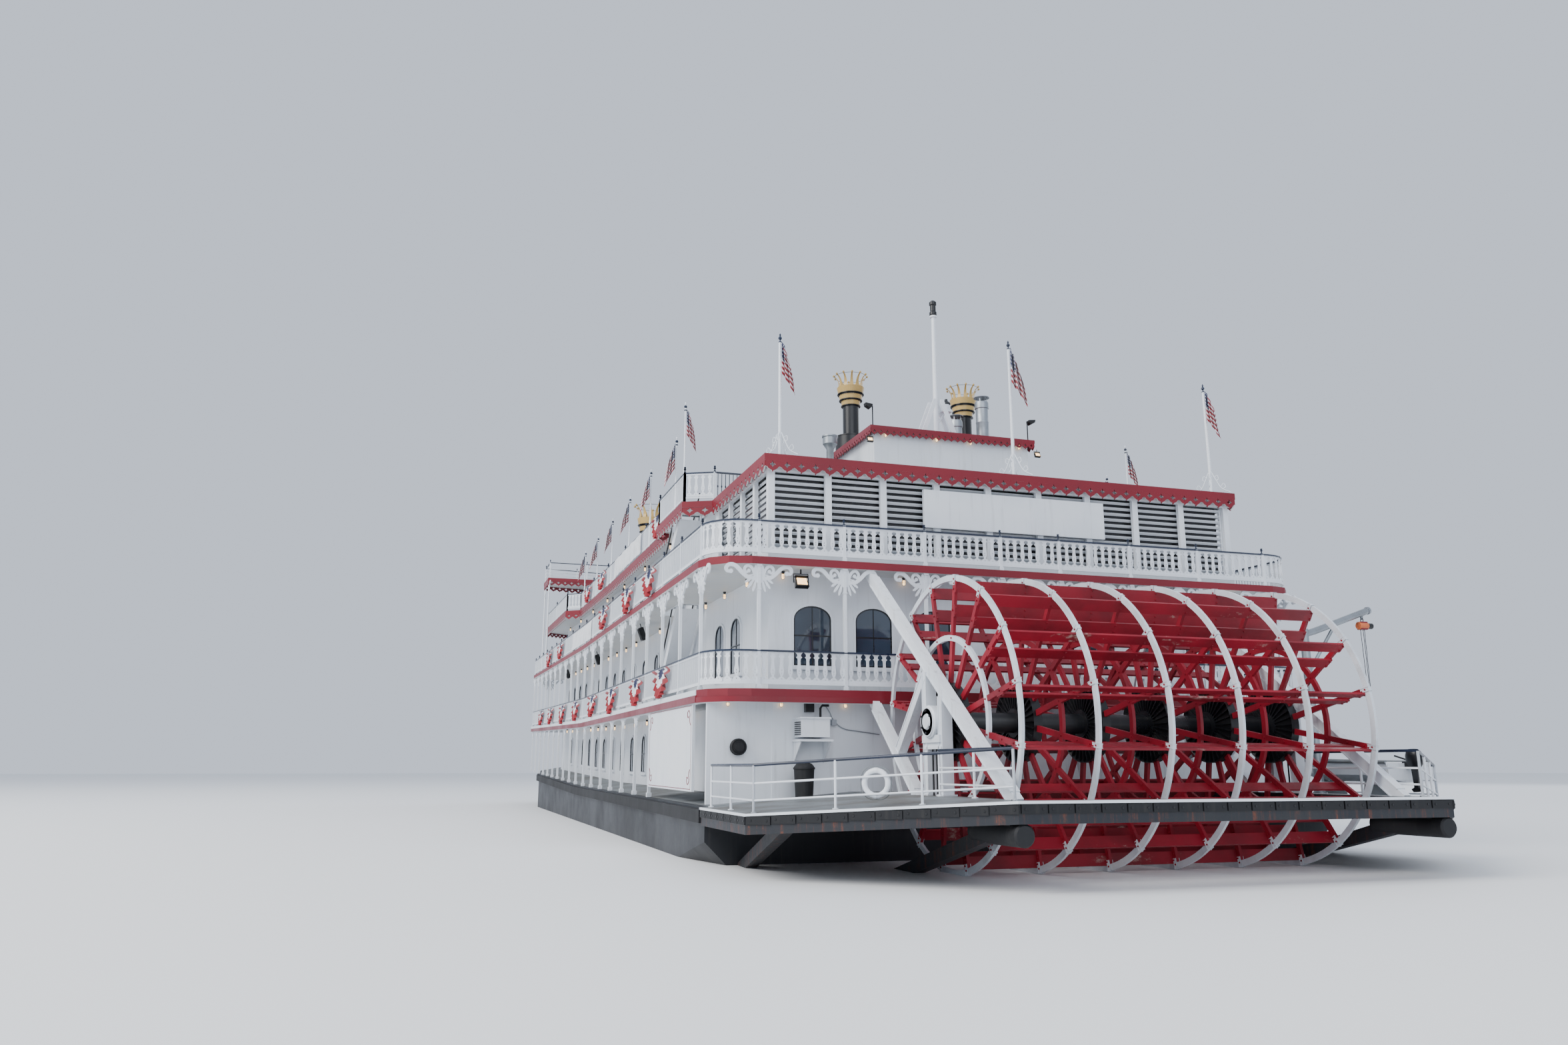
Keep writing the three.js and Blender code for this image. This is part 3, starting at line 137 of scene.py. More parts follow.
# Flat points (u, v) set in a plane, w away from it along the third axis.
def inPlane(points, plane="xz", w=0.0):
    order = {"xy": (0, 1, 2), "xz": (0, 2, 1), "yz": (2, 0, 1)}[plane]
    return [tuple((u, v, w)[k] for k in order) for u, v in points]


# A plate cut to an outline in a plane, between two places along the third axis.
def plate(outline, low, high, plane="xz", holes=(), finish=0):
    loops = [list(outline), *[list(h) for h in holes]]
    flat = [p for loop in loops for p in loop]
    triangles = tessellate_polygon([[Vector((u, v, 0)) for u, v in loop] for loop in loops])
    n = len(flat)
    faces = [tuple(t) for t in triangles] + [tuple(i + n for i in t[::-1]) for t in triangles]
    start = 0
    for loop in loops:
        for i in range(len(loop)):
            a, b = start + i, start + (i + 1) % len(loop)
            faces.append((a, b, b + n, a + n))
        start += len(loop)
    return Bit(inPlane(flat, plane, low) + inPlane(flat, plane, high), faces, finish)


# Faces between n rings of k points each.
def loft(n, k, closed=False):
    spans = [(i * k, (i + 1) % n * k) for i in range(n if closed else n - 1)]
    return [(a + m, a + (m + 1) % k, b + (m + 1) % k, b + m) for a, b in spans for m in range(k)]


# A flat section carried along a path. up is the direction of the section's second axis.
def swept(path, section, up=(0, 0, 1), closed=False, widths=None, finish=0):
    path, section = np.asarray(path, float), np.asarray(section, float)
    n, k = len(path), len(section)
    before, after = np.roll(path, 1, 0), np.roll(path, -1, 0)
    if not closed:
        before[0], after[-1] = path[0], path[-1]
    along = after - before
    along /= np.linalg.norm(along, axis=1)[:, None]
    side = np.cross(along, np.asarray(up, float))
    side /= np.linalg.norm(side, axis=1)[:, None]
    top = np.cross(side, along)
    size = np.ones(n) if widths is None else np.asarray(widths, float)
    spread = side[:, None] * section[None, :, :1] + top[:, None] * section[None, :, 1:]
    rings = path[:, None] + spread * size[:, None, None]
    faces = loft(n, k, closed)
    if not closed:
        faces += [tuple(range(k))[::-1], tuple((n - 1) * k + m for m in range(k))]
    return Bit(rings.reshape(-1, 3), faces, finish)


def circle(radius, sides=8):
    turns = [2 * math.pi * i / sides for i in range(sides)]
    return [(radius * math.cos(t), radius * math.sin(t)) for t in turns]


def strip(wide, high):
    return [(-wide / 2, -high / 2), (wide / 2, -high / 2), (wide / 2, high / 2), (-wide / 2, high / 2)]


def tube(path, radius, sides=8, closed=False, up=None, finish=0):
    path = np.asarray(path, float)
    if up is None:
        run = np.abs(path[-1] - path[0])
        up = (0, 1, 0) if run[2] > 0.9 * np.linalg.norm(run) else (0, 0, 1)
    return swept(path, circle(radius, sides), up, closed, finish=finish)


def hoop(radius, wire, count, sides, plane="xy", finish=0):
    up = {"xy": (0, 0, 1), "yz": (1, 0, 0)}[plane]
    return tube(inPlane(circle(radius, count), plane), wire, sides, True, up, finish)


# A turned form: profile is (radius, height) from the bottom up.
def turnedForm(profile, sides=24, finish=0):
    points, rings = [], []
    for r, z in profile:
        ring = [(0, 0)] if r < 1e-6 else circle(r, sides)
        rings.append(range(len(points), len(points) + len(ring)))
        points += inPlane(ring, "xy", z)
    faces = [tuple(ring) for ring in (rings[0][::-1], rings[-1]) if len(ring) > 1]
    for a, b in zip(rings, rings[1:]):
        for i in range(sides):
            j = (i + 1) % sides
            corners = (a[i % len(a)], a[j % len(a)], b[j % len(b)], b[i % len(b)])
            faces.append(tuple(dict.fromkeys(corners)))
    return Bit(points, faces, finish)


# A turned form that lies along Y.
def disc(profile, sides, finish=0):
    return turnedForm(profile, sides, finish).turned(90, "X")


def arcPoints(cx, cy, radius, start, end, steps):
    turns = [math.radians(start + (end - start) * i / steps) for i in range(steps + 1)]
    return [(cx + radius * math.cos(t), cy + radius * math.sin(t)) for t in turns]


# A smooth curve through the points.
def curve(points, steps=6):
    p = [np.asarray(q, float) for q in points]
    p = [2 * p[0] - p[1], *p, 2 * p[-1] - p[-2]]
    out = []
    for a, b, c, d in zip(p, p[1:], p[2:], p[3:]):
        for s in range(steps):
            t = s / steps
            slope = (c - a) * t
            bend = (2 * a - 5 * b + 4 * c - d) * t**2
            out.append(0.5 * (2 * b + slope + bend + (3 * b - a - 3 * c + d) * t**3))
    return out + [p[-2]]


# Even steps from one point to another, both ends among them.
def divided(a, b, n):
    return [tuple(p + (q - p) * k / n for p, q in zip(a, b)) for k in range(n + 1)]


# Places an even pitch apart along a line, each with its direction in degrees.
def stations(line, pitch, margin=0.0):
    a = np.asarray(line, float)
    steps = np.linalg.norm(np.diff(a, axis=0), axis=1)
    run = np.concatenate([[0], np.cumsum(steps)])
    length = run[-1] - 2 * margin
    count = max(1, round(length / pitch))
    spots = []
    for k in range(count):
        s = margin + length * (k + 0.5) / count
        i = min(int(np.searchsorted(run, s, side="right")) - 1, len(a) - 2)
        d = a[i + 1] - a[i]
        p = a[i] + d * ((s - run[i]) / steps[i])
        spots.append((p[0], p[1], math.degrees(math.atan2(d[1], d[0]))))
    return spots


# A closed line mirrored about the middle. A corner is (x, y) and the way an inset moves it.
def insetLine(corners, inset):
    side = [(x + kx * inset, y + ky * inset) for x, y, kx, ky in corners]
    return side + [(x, -y) for x, y in reversed(side)]


# Makes the object of a piece. Its finishes are named in one string, in the order of their numbers in the bit.
def makePiece(name, bit, kinds, slot=None, replaces=(), body="boat", sheered=True, smooth=35, closed=True):
    bm = bmesh.new()
    corners = [bm.verts.new(p) for p in bit.points]
    for face, finish in zip(bit.faces, bit.finish):
        bm.faces.new([corners[i] for i in face]).material_index = finish
    if sheered:
        cut = boat["sheerAt"][1]
        across = [f for f in bm.faces if min(v.co.x for v in f.verts) < cut < max(v.co.x for v in f.verts)]
        if across:
            near = set(across) | {e for f in across for e in f.edges} | {v for f in across for v in f.verts}
            bmesh.ops.bisect_plane(bm, geom=list(near), plane_co=(cut, 0, 0), plane_no=(1, 0, 0), dist=1e-6)
    if closed:
        bmesh.ops.recalc_face_normals(bm, faces=bm.faces)
    mesh = bpy.data.meshes.new(name)
    bm.to_mesh(mesh)
    bm.free()
    co = np.empty(len(mesh.vertices) * 3)
    mesh.vertices.foreach_get("co", co)
    mesh.vertices.foreach_set("co", onBoat(co, sheered).ravel())
    mesh.update()
    for kind in kinds.split():
        mesh.materials.append(paints[kind])
    obj = bpy.data.objects.new(name, mesh)
    bpy.context.scene.collection.objects.link(obj)
    mesh.polygons.foreach_set("use_smooth", [True] * len(mesh.polygons))
    mesh.set_sharp_from_angle(angle=math.radians(smooth))
    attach(obj, body)
    if replaces:
        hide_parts(*replaces)
    return obj


def gridFaces(across, down):
    w = across + 1
    starts = [j * w + i for j in range(down) for i in range(across)]
    return [(k, k + 1, k + w + 1, k + w) for k in starts]


# A cloth that hangs; its flat size in real metres is not used. uvs has the cloth's own place for each point.
def hungCloth(name, kind, rows, faces, flat, rests, uvs=(), **more):
    obj = makePiece(name, Bit(rows, faces), kind, smooth=180, closed=False)
    if uvs:
        layer = obj.data.uv_layers.new(name="cloth")
        for loop in obj.data.loops:
            layer.data[loop.index].uv = uvs[loop.vertex_index]
    tuple(size * boat["scale"] for size in flat)


# Materials


class Socket:
    def __init__(self, graph, socket):
        self.graph, self.socket = graph, socket

    def maths(self, kind, *others):
        return self.graph.add("ShaderNodeMath", {"operation": kind}, [self, *others])

    def __add__(self, other):
        return self.maths("ADD", other)

    __radd__ = __add__

    def __mul__(self, other):
        return self.maths("MULTIPLY", other)

    __rmul__ = __mul__

    def __sub__(self, other):
        return self.maths("SUBTRACT", other)

    def __rsub__(self, other):
        return self.graph.add("ShaderNodeMath", {"operation": "SUBTRACT"}, [other, self])

    def __gt__(self, other):
        return self.maths("GREATER_THAN", other)

    def __lt__(self, other):
        return self.maths("LESS_THAN", other)

    def soft(self, low, high):
        return self.graph.add("ShaderNodeMapRange", {"interpolation_type": "SMOOTHSTEP"}, [self, low, high, 0.0, 1.0])


class Finish:
    names = {
        "color": "Base Color",
        "roughness": "Roughness",
        "metallic": "Metallic",
        "coat": "Coat Weight",
        "glow": "Emission Color",
        "glowStrength": "Emission Strength",
        "normal": "Normal",
        "sheen": "Sheen Weight",
    }

    def __init__(self, name):
        self.material = bpy.data.materials.new(name)
        self.material.use_nodes = True
        self.tree = self.material.node_tree
        self.tree.nodes.clear()
        self.shader = self.tree.nodes.new("ShaderNodeBsdfPrincipled")
        out = self.tree.nodes.new("ShaderNodeOutputMaterial")
        self.tree.links.new(self.shader.outputs[0], out.inputs[0])
        self.coordinates = self.add("ShaderNodeTexCoord", {}, [], "Object")

    # Any node: its settings first, then the values or links of its sockets.
    def add(self, kind, settings, values=(), output=0):
        node = self.tree.nodes.new(kind)
        for key, value in settings.items():
            setattr(node, key, value)
        for key, value in values.items() if isinstance(values, dict) else enumerate(values):
            self.feed(node.inputs[key], value)
        return Socket(self, node.outputs[output])

    def feed(self, target, value):
        if isinstance(value, Socket):
            self.tree.links.new(value.socket, target)
        elif isinstance(value, tuple) and len(value) == 3 and target.type == "RGBA":
            target.default_value = (*value, 1)
        else:
            target.default_value = value

    # Sets the shader's own sockets and gives the finished material.
    def set(self, **settings):
        for key, value in settings.items():
            self.feed(self.shader.inputs[self.names[key]], value)
        return self.material

    def noise(self, scale, detail=3, roughness=0.55, stretch=(1, 1, 1)):
        moved = self.add("ShaderNodeVectorMath", {"operation": "MULTIPLY"}, [self.coordinates, stretch])
        values = {"Vector": moved, "Scale": scale, "Detail": detail, "Roughness": roughness}
        return self.add("ShaderNodeTexNoise", {}, values)

    def blend(self, factor, a, b):
        return self.add("ShaderNodeMix", {"data_type": "RGBA"}, {0: factor, 6: a, 7: b}, 2)

    def bump(self, height, strength=0.3, distance=0.01):
        values = {"Strength": strength, "Distance": distance, "Height": height}
        return self.add("ShaderNodeBump", {}, values)

    def part(self, vector, which):
        return self.add("ShaderNodeSeparateXYZ", {}, [vector], which)

    # Facing up or down, from the surface itself.
    def facing(self):
        return self.part(self.add("ShaderNodeNewGeometry", {}, [], "Normal"), 2)


def linear(r, g, b):
    return tuple((c / 255 / 12.92) if c <= 10.3 else ((c / 255 + 0.055) / 1.055) ** 2.4 for c in (r, g, b))


# Finishes

tints = {
    "white": linear(232, 236, 241),
    "whiteShade": linear(196, 205, 216),
    "crimson": linear(126, 14, 34),
    "crimsonDark": linear(92, 10, 26),
    "wheelRed": linear(146, 10, 36),
    "wheelDark": linear(84, 10, 22),
    "bareBoard": linear(176, 158, 148),
    "rust": linear(122, 62, 34),
    "rustLight": linear(168, 104, 62),
    "grime": linear(88, 84, 78),
    "navy": linear(24, 38, 62),
    "black": linear(15, 16, 20),
    "soot": linear(36, 38, 42),
    "hull": linear(26, 30, 38),
    "deckGrey": linear(120, 126, 130),
    "ceiling": linear(214, 214, 210),
    "gold": linear(196, 164, 96),
    "goldShade": linear(140, 112, 60),
    "zinc": linear(158, 164, 170),
    "rim": linear(214, 220, 227),
    "glass": linear(34, 44, 56),
    # A pale sky blue that the glass is blended towards: a painted reflection of the sky.
    "paintedSkyReflection": linear(66, 82, 100),
    "lamp": linear(255, 196, 120),
    "lampHeart": linear(255, 236, 200),
    "flagRed": linear(150, 14, 34),
    "flagBlue": linear(20, 30, 78),
    "cloth": linear(226, 228, 232),
    "orange": linear(220, 110, 60),
}


# Painted board or plate: worn patches, streaks that run down, and rust where asked.
def paintFinish(name, color, shade, dirt=0.35, streak=0.3, rough=0.42, rust=None, grain=0.15):
    f = Finish(name)
    broad = f.noise(0.9, 4).soft(0.35, 0.75)
    fine = f.noise(14, 5, 0.7)
    streaks = f.noise(5, 4, 0.6, stretch=(2.2, 2.2, 0.16)).soft(0.52, 0.78)
    tone = f.blend(broad * dirt, tints[color], tints[shade])
    tone = f.blend(streaks * streak * fine, tone, tints["grime"])
    if rust:
        runs = f.noise(7, 6, 0.75).soft(0.6, 0.72) * streaks.soft(0.1, 0.8)
        spots = (runs + f.noise(23, 4, 0.7).soft(0.68, 0.76)) * rust
        tone = f.blend(spots.soft(0, 1), tone, tints["rust"])
    gloss = broad * 0.18 + (fine * 0.12 + rough - 0.1)
    return f.set(color=tone, roughness=gloss, normal=f.bump(fine * grain, 0.35, 0.004))


# The wheel's red, worn off in patches to rust or to pale bare board.
def wheelFinish(name, worn, under, grain):
    f = Finish(name)
    broad = f.noise(1.6, 4).soft(0.35, 0.7)
    fine = f.noise(18, 6, 0.7)
    tone = f.blend(broad * 0.6, tints["wheelRed"], tints["wheelDark"])
    patches = (f.noise(3.2, 7, 0.72, stretch=(1, 0.35, 1)) + fine * 0.25).soft(*worn)
    tone = f.blend(patches * 0.75, tone, tints[under])
    height = f.noise(9, 5, 0.6, stretch=(3, 0.12, 3)) * grain + fine * 0.3 - patches * 0.5
    return f.set(color=tone, roughness=fine * 0.25 + 0.38, normal=f.bump(height, 0.4, 0.005))


def metalFinish(name, color, rough=0.4, metallic=0.9, spot=0.3):
    f = Finish(name)
    cloud = f.noise(3, 5, 0.6)
    spangle = f.add("ShaderNodeTexVoronoi", {}, {"Vector": f.coordinates, "Scale": 30.0})
    tone = f.blend(cloud.soft(0.4, 0.7) * spot, tints[color], tints["grime"])
    gloss = spangle * 0.1 + (cloud * 0.2 + rough - 0.1)
    return f.set(color=tone, metallic=metallic, roughness=gloss, normal=f.bump(cloud, 0.15, 0.004))


# Window glass: dark glass blended in cloudy patches towards a sky blue, a painted reflection of the sky.
def glassFinish():
    f = Finish("windowGlass")
    cloud = f.noise(0.7, 3).soft(0.3, 0.8)
    tone = f.blend(cloud, tints["glass"], tints["paintedSkyReflection"])
    return f.set(color=tone, roughness=cloud * 0.08 + 0.05, coat=1.0, normal=f.bump(f.noise(1.4, 2), 0.04, 0.02))


def lampFinish():
    f = Finish("lampGlow")
    glow = f.blend(f.noise(40, 2).soft(0.2, 0.9), tints["lamp"], tints["lampHeart"])
    return f.set(color=tints["lamp"], glow=glow, glowStrength=3.0, roughness=0.2)


# Decks: grey above, a crimson edge, and a pale ceiling with beams below.
def deckFinish():
    f = Finish("deckPlate")
    up = f.facing()
    fine = f.noise(12, 5, 0.7)
    broad = f.noise(0.8, 4).soft(0.35, 0.7)
    edge = f.blend(broad * 0.4, tints["crimson"], tints["crimsonDark"])
    wave = f.add("ShaderNodeTexWave", {"bands_direction": "X"}, {"Vector": f.coordinates, "Scale": 1.4})
    seams = wave.soft(0.0, 0.05)
    ceiling = f.blend(broad * 0.35 + (1 - seams) * 0.4, tints["ceiling"], tints["whiteShade"])
    tone = f.blend(up > 0.7, edge, f.blend(broad * 0.7, tints["deckGrey"], tints["grime"]))
    tone = f.blend(up < -0.7, tone, ceiling)
    height = fine * 0.3 + seams * (up < -0.7)
    return f.set(color=tone, roughness=fine * 0.2 + 0.34, normal=f.bump(height, 0.3, 0.005))


# The stern platform: grey above, dark sides with runs of rust.
def platformFinish():
    f = Finish("platformSteel")
    fine = f.noise(16, 6, 0.75)
    broad = f.noise(1.1, 4).soft(0.35, 0.7)
    runs = f.noise(6, 5, 0.65, stretch=(2.5, 2.5, 0.12)).soft(0.5, 0.7)
    side = f.blend(broad, tints["hull"], tints["soot"])
    side = f.blend(runs * fine.soft(0.35, 0.65) * 0.7, side, tints["rust"])
    tone = f.blend(f.facing() > 0.6, side, f.blend(broad, tints["deckGrey"], tints["grime"]))
    return f.set(color=tone, roughness=fine * 0.3 + 0.4, normal=f.bump(fine, 0.45, 0.006))


# Cloth. The UV map has its own places: across the fly and up the hoist, or round the fan and out to its hem.
def clothFinish(name, pattern):
    f = Finish(name)
    weave = f.noise(160, 2)
    dirt = f.noise(4, 4).soft(0.45, 0.8)
    color = f.blend(dirt * 0.3, pattern(f), tints["grime"])
    return f.set(color=color, roughness=weave * 0.1 + 0.8, sheen=0.3, normal=f.bump(weave, 0.2, 0.002))


def clothPlace(f):
    uv = f.add("ShaderNodeTexCoord", {}, [], "UV")
    return f.part(uv, 0), f.part(uv, 1)


# Stripes down the hoist and a dark canton with pale dots.
def flagPattern(f):
    u, v = clothPlace(f)
    tone = f.blend((v * 6.5).maths("FRACT") > 0.56, tints["flagRed"], tints["cloth"])
    du, dv = (u * 15).maths("FRACT") - 0.5, (v * 9).maths("FRACT") - 0.5
    dots = f.blend((du * du + dv * dv) < 0.05, tints["flagBlue"], tints["cloth"])
    return f.blend((u < 0.4) * (v > 0.46), tone, dots)


def buntingPattern(f):
    v = clothPlace(f)[1]
    return f.blend(v > 0.66, f.blend(v > 0.36, tints["flagBlue"], tints["cloth"]), tints["flagRed"])


paintWork = {
    "white": ("whitePaint", "white", "whiteShade", {"streak": 0.35}),
    "whiteTrim": ("whiteTrim", "white", "whiteShade", {"dirt": 0.25, "streak": 0.15, "rough": 0.36}),
    "whiteRusty": ("whiteRusty", "white", "whiteShade", {"dirt": 0.5, "streak": 0.7, "rust": 0.5}),
    "crimson": ("crimsonPaint", "crimson", "crimsonDark", {"dirt": 0.4, "streak": 0.2, "rough": 0.34}),
    "navy": ("navyPaint", "navy", "black", {"dirt": 0.5, "streak": 0.1, "rough": 0.3}),
    "black": ("blackPaint", "black", "soot", {"streak": 0.2, "rough": 0.32}),
    "hull": ("hullPaint", "hull", "soot", {"dirt": 0.9, "streak": 0.5, "rough": 0.5, "rust": 0.35, "grain": 0.4}),
    "rubber": ("rubber", "black", "soot", {"dirt": 0.45, "rough": 0.7, "grain": 0.6}),
    "gold": ("goldPaint", "gold", "goldShade", {"dirt": 0.7, "streak": 0.2, "rough": 0.3}),
    "deckGrey": ("deckPaint", "deckGrey", "grime", {"dirt": 0.8, "streak": 0.2, "rough": 0.6, "grain": 0.8}),
    "orange": ("orangePaint", "orange", "rustLight", {"dirt": 0.3, "rough": 0.4}),
}
paints = {key: paintFinish(*names, **settings) for key, (*names, settings) in paintWork.items()}
paints["wheelRed"] = wheelFinish("wheelRed", (0.84, 0.92), "rust", 0.2)
paints["wheelBoard"] = wheelFinish("wheelBoard", (0.74, 0.84), "bareBoard", 0.8)
paints["zinc"] = metalFinish("galvanised", "zinc")
paints["rim"] = metalFinish("rimPaint", "rim", 0.4, 0.1, 0.22)
paints["glass"] = glassFinish()
paints["lamp"] = lampFinish()
paints["deck"] = deckFinish()
paints["platform"] = platformFinish()
paints["flag"] = clothFinish("flagCloth", flagPattern)
paints["bunting"] = clothFinish("buntingCloth", buntingPattern)
paints["banner"] = clothFinish("bannerCloth", lambda f: tints["cloth"])
print("finishes made")

nodeFinish = {
    "hull": "hull rudder_port rudder_starboard",
    "rubber": "rub_rail",
    "platform": "stern_platform",
    "white": "main_house deck_2_house deck_3_house texas_house bridge_house pilothouse "
    "sign_stern sign_port sign_starboard",
    "whiteTrim": "louvre_frame pilothouse_door_port pilothouse_door_starboard mast davit",
    "whiteRusty": "wheel_carrier_port wheel_carrier_starboard",
    "deck": "deck_2 deck_3 bridge_deck",
    "crimson": "pilothouse_roof",
    "black": "wheel_shaft",
    "glass": "main_house_glass deck_2_house_glass deck_3_house_glass bridge_house_glass pilothouse_glass",
}
for kind, nodes in nodeFinish.items():
    for node in nodes.split():
        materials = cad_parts[node].data.materials
        materials.clear()
        materials.append(paints[kind])


# Camera, floor and lights

view = {
    "place": (-27.366, 8.5515, 2.255),
    "right": (-0.3008, -0.9537, 0.0),
    "up": (-0.2057, 0.0649, 0.9765),
    "forward": (0.9314, -0.2938, 0.2157),
    "lens": 25.44,
    "floor": 1.0,
    "floorHalf": 220,
    "sky": (0.78, 0.86, 1.0),
    "skyStrength": 0.95,
    "lights": (
        ("keyLight", (-20, 60, 52), (2, 0, 5), 46, 62000, (1.0, 0.97, 0.92)),
        ("fillLight", (-62, 8, 30), (-8, 0, 4), 40, 9500, (0.93, 0.96, 1.0)),
        ("farLight", (30, -60, 40), (0, 0, 4), 50, 9000, (0.95, 0.97, 1.0)),
    ),
}


def onStage(name, data):
    obj = bpy.data.objects.new(name, data)
    bpy.context.scene.collection.objects.link(obj)
    return obj


camera = onStage("camera", bpy.data.cameras.new("camera"))
axes = Matrix([view["right"], view["up"], [-v for v in view["forward"]]]).transposed()
camera.matrix_world = Matrix.Translation(view["place"]) @ axes.to_4x4()
camera.data.lens = view["lens"]
camera.data.sensor_width = 36
camera.data.clip_end = 1000
bpy.context.scene.camera = camera

floorFinish = Finish("floor")
floorFinish.set(color=(0.86, 0.87, 0.88), roughness=0.75)
floorMesh = bpy.data.meshes.new("floor")
floorSize = 2 * view["floorHalf"]
floorMesh.from_pydata(inPlane(strip(floorSize, floorSize), "xy", view["floor"]), [], [(0, 1, 2, 3)])
floorMesh.materials.append(floorFinish.material)
onStage("floor", floorMesh)

for name, place, target, size, power, color in view["lights"]:
    lamp = bpy.data.lights.new(name, "AREA")
    lamp.size, lamp.energy, lamp.color = size, power, color
    light = onStage(name, lamp)
    light.location = place
    light.rotation_euler = (Vector(target) - Vector(place)).to_track_quat("-Z", "Y").to_euler()

world = bpy.data.worlds.new("studio")
world.use_nodes = True
background = world.node_tree.nodes["Background"]
background.inputs["Color"].default_value = (*view["sky"], 1)
background.inputs["Strength"].default_value = view["skyStrength"]
bpy.context.scene.world = world
print("stage set")


# Rails and columns

railing = {
    "inset": 0.105,
    "turn": 6,
    "cap": 1.07,
    "capWide": 0.095,
    "capHigh": 0.05,
    "pitch": 0.256,
    "thick": 0.022,
    "picket": 0.03,
    "picketPitch": 0.139,
    "post": 0.045,
    "postHigh": 1.06,
    "foot": 1.35,
}

# The sawn boards: half widths at heights above the deck, and the holes pierced in them.
boardFoot = [(0.105, 0.262), (0.094, 0.275), (0.078, 0.305), (0.052, 0.328), (0.024, 0.338), (0.03, 0.365)]
boardFoot += [(0.047, 0.40), (0.062, 0.45), (0.067, 0.50), (0.061, 0.55), (0.05, 0.61)]
ogeeBoard = [(0.128, 0.2), (0.128, 0.28), *boardFoot, (0.041, 0.68), (0.038, 0.78), (0.046, 0.845), (0.088, 0.885)]
ogeeBoard += [(0.055, 0.91), (0.048, 0.935), (0.06, 0.97), (0.092, 1.005), (0.118, 1.03), (0.128, 1.05)]
lensBoard = [(0.128, 0.2), (0.128, 0.27), *boardFoot, (0.043, 0.68), (0.044, 0.78), (0.056, 0.835), (0.096, 0.855)]
lensBoard += [(0.096, 0.872), (0.062, 0.885), (0.055, 0.92), (0.072, 0.95), (0.108, 0.965), (0.128, 0.967)]
lensBoard += [(0.128, 1.05)]
boardHoles = [
    [(-0.016, 0.49), (0.016, 0.49), (0, 0.535)],
    [(0, 0.405), (0.014, 0.445), (-0.014, 0.445)],
    [(-0.022, 0.262), (0.022, 0.262), (0, 0.292)],
]


# A deck's edge, inset, from the bow's starboard corner round to the stern's.
def railLine(inset):
    c = boat["corner"]
    x0, x1, y = boat["aft"] + c, boat["fore"] - c, boat["half"] - c
    corners = ((x1, -y, -90), (x1, y, 0), (x0, y, 90), (x0, -y, 180))
    return [p for x, side, turn in corners for p in arcPoints(x, side, c - inset, turn, turn + 90, railing["turn"])]


finialForm = [(0.6, 0), (1.0, 0.06), (1.0, 0.12), (0.5, 0.2), (0.42, 0.42), (1.05, 0.5), (1.05, 0.58), (0.5, 0.66)]
finialForm += [(0.85, 0.78), (0.8, 0.88), (0, 1)]


def finial(height=0.2, wide=0.045):
    return turnedForm([(r * wide, z * height) for r, z in finialForm], 8, 1)


def capRail(line, floor, closed=False):
    w, h = railing["capWide"] / 2, railing["capHigh"]
    section = [(-w, -h), (w, -h), (w, -h * 0.35), (w * 0.6, 0), (-w * 0.6, 0), (-w, -h * 0.35)]
    return swept(inPlane(line, "xy", floor + railing["cap"]), section, closed=closed, finish=1)


def underRail(line, floor, low, high, thick=0.04, closed=False):
    return swept(inPlane(line, "xy", floor + (low + high) / 2), strip(thick, high - low), closed=closed)


def boardRun(line, floor, half, margin=0.0):
    deep = railing["thick"] / 2
    board = plate([(-u, v) for u, v in half[::-1]] + half, -deep, deep, holes=boardHoles)
    spots = stations(line, railing["pitch"], margin)
    run = np.linalg.norm(np.diff(np.asarray(line, float), axis=0), axis=1).sum() - 2 * margin
    fit = run / len(spots) / railing["pitch"]
    return repeated(board.scaled(x=fit * 1.002), [(x, y, floor, t) for x, y, t in spots])


def picketRun(line, floor, wide=railing["picket"]):
    picket = post(0, 0, wide / 2, 0.14, 1.0)
    return repeated(picket, [(x, y, floor, t) for x, y, t in stations(line, railing["picketPitch"], 0.05)])


sternPosts = [(3.982, s * y) for y in (1.0, 3.5, 6.03, 8.58) for s in (1, -1)]
sidePosts = [(5.127 + 2.754 * k, s * 9.95) for k in range(20) for s in (1, -1)]
bowPosts = [(58.595, 8.805 - 2.935 * k) for k in range(7)]
deckPosts = sternPosts + sidePosts + bowPosts


# The rail of a deck: sawn boards across the stern and round its corners, pickets elsewhere.
def deckRail(name, floor, half, node, postTop=None):
    line = railLine(railing["inset"])
    n = railing["turn"] + 1
    bowTurn, bowEnd, portTurn, sternTurn = (line[k : k + n] for k in range(0, 4 * n, n))
    parts = [capRail(line, floor, closed=True), underRail(line, floor, 0.126, 0.21, 0.045, closed=True)]
    parts.append(boardRun(portTurn + sternTurn, floor, half))
    for side in (bowEnd[-1], portTurn[0]), (sternTurn[-1], bowTurn[0]), (bowTurn[-1], bowEnd[0]):
        parts += [picketRun(side, floor), underRail(side, floor, 0.965, 1.02, 0.045)]
    parts += [picketRun(turn, floor) for turn in (bowTurn, bowEnd)]
    w = railing["post"]
    for x, y in deckPosts:
        parts.append(post(x, y, w, floor, postTop or floor + railing["postHigh"]))
        parts.append(post(x, y, w * railing["foot"], floor, floor + 0.1))
        if not postTop:
            parts.append(finial().moved(x, y, floor + railing["postHigh"]))
    makePiece(name, joined(parts), "whiteTrim navy", "white_paint", [node])


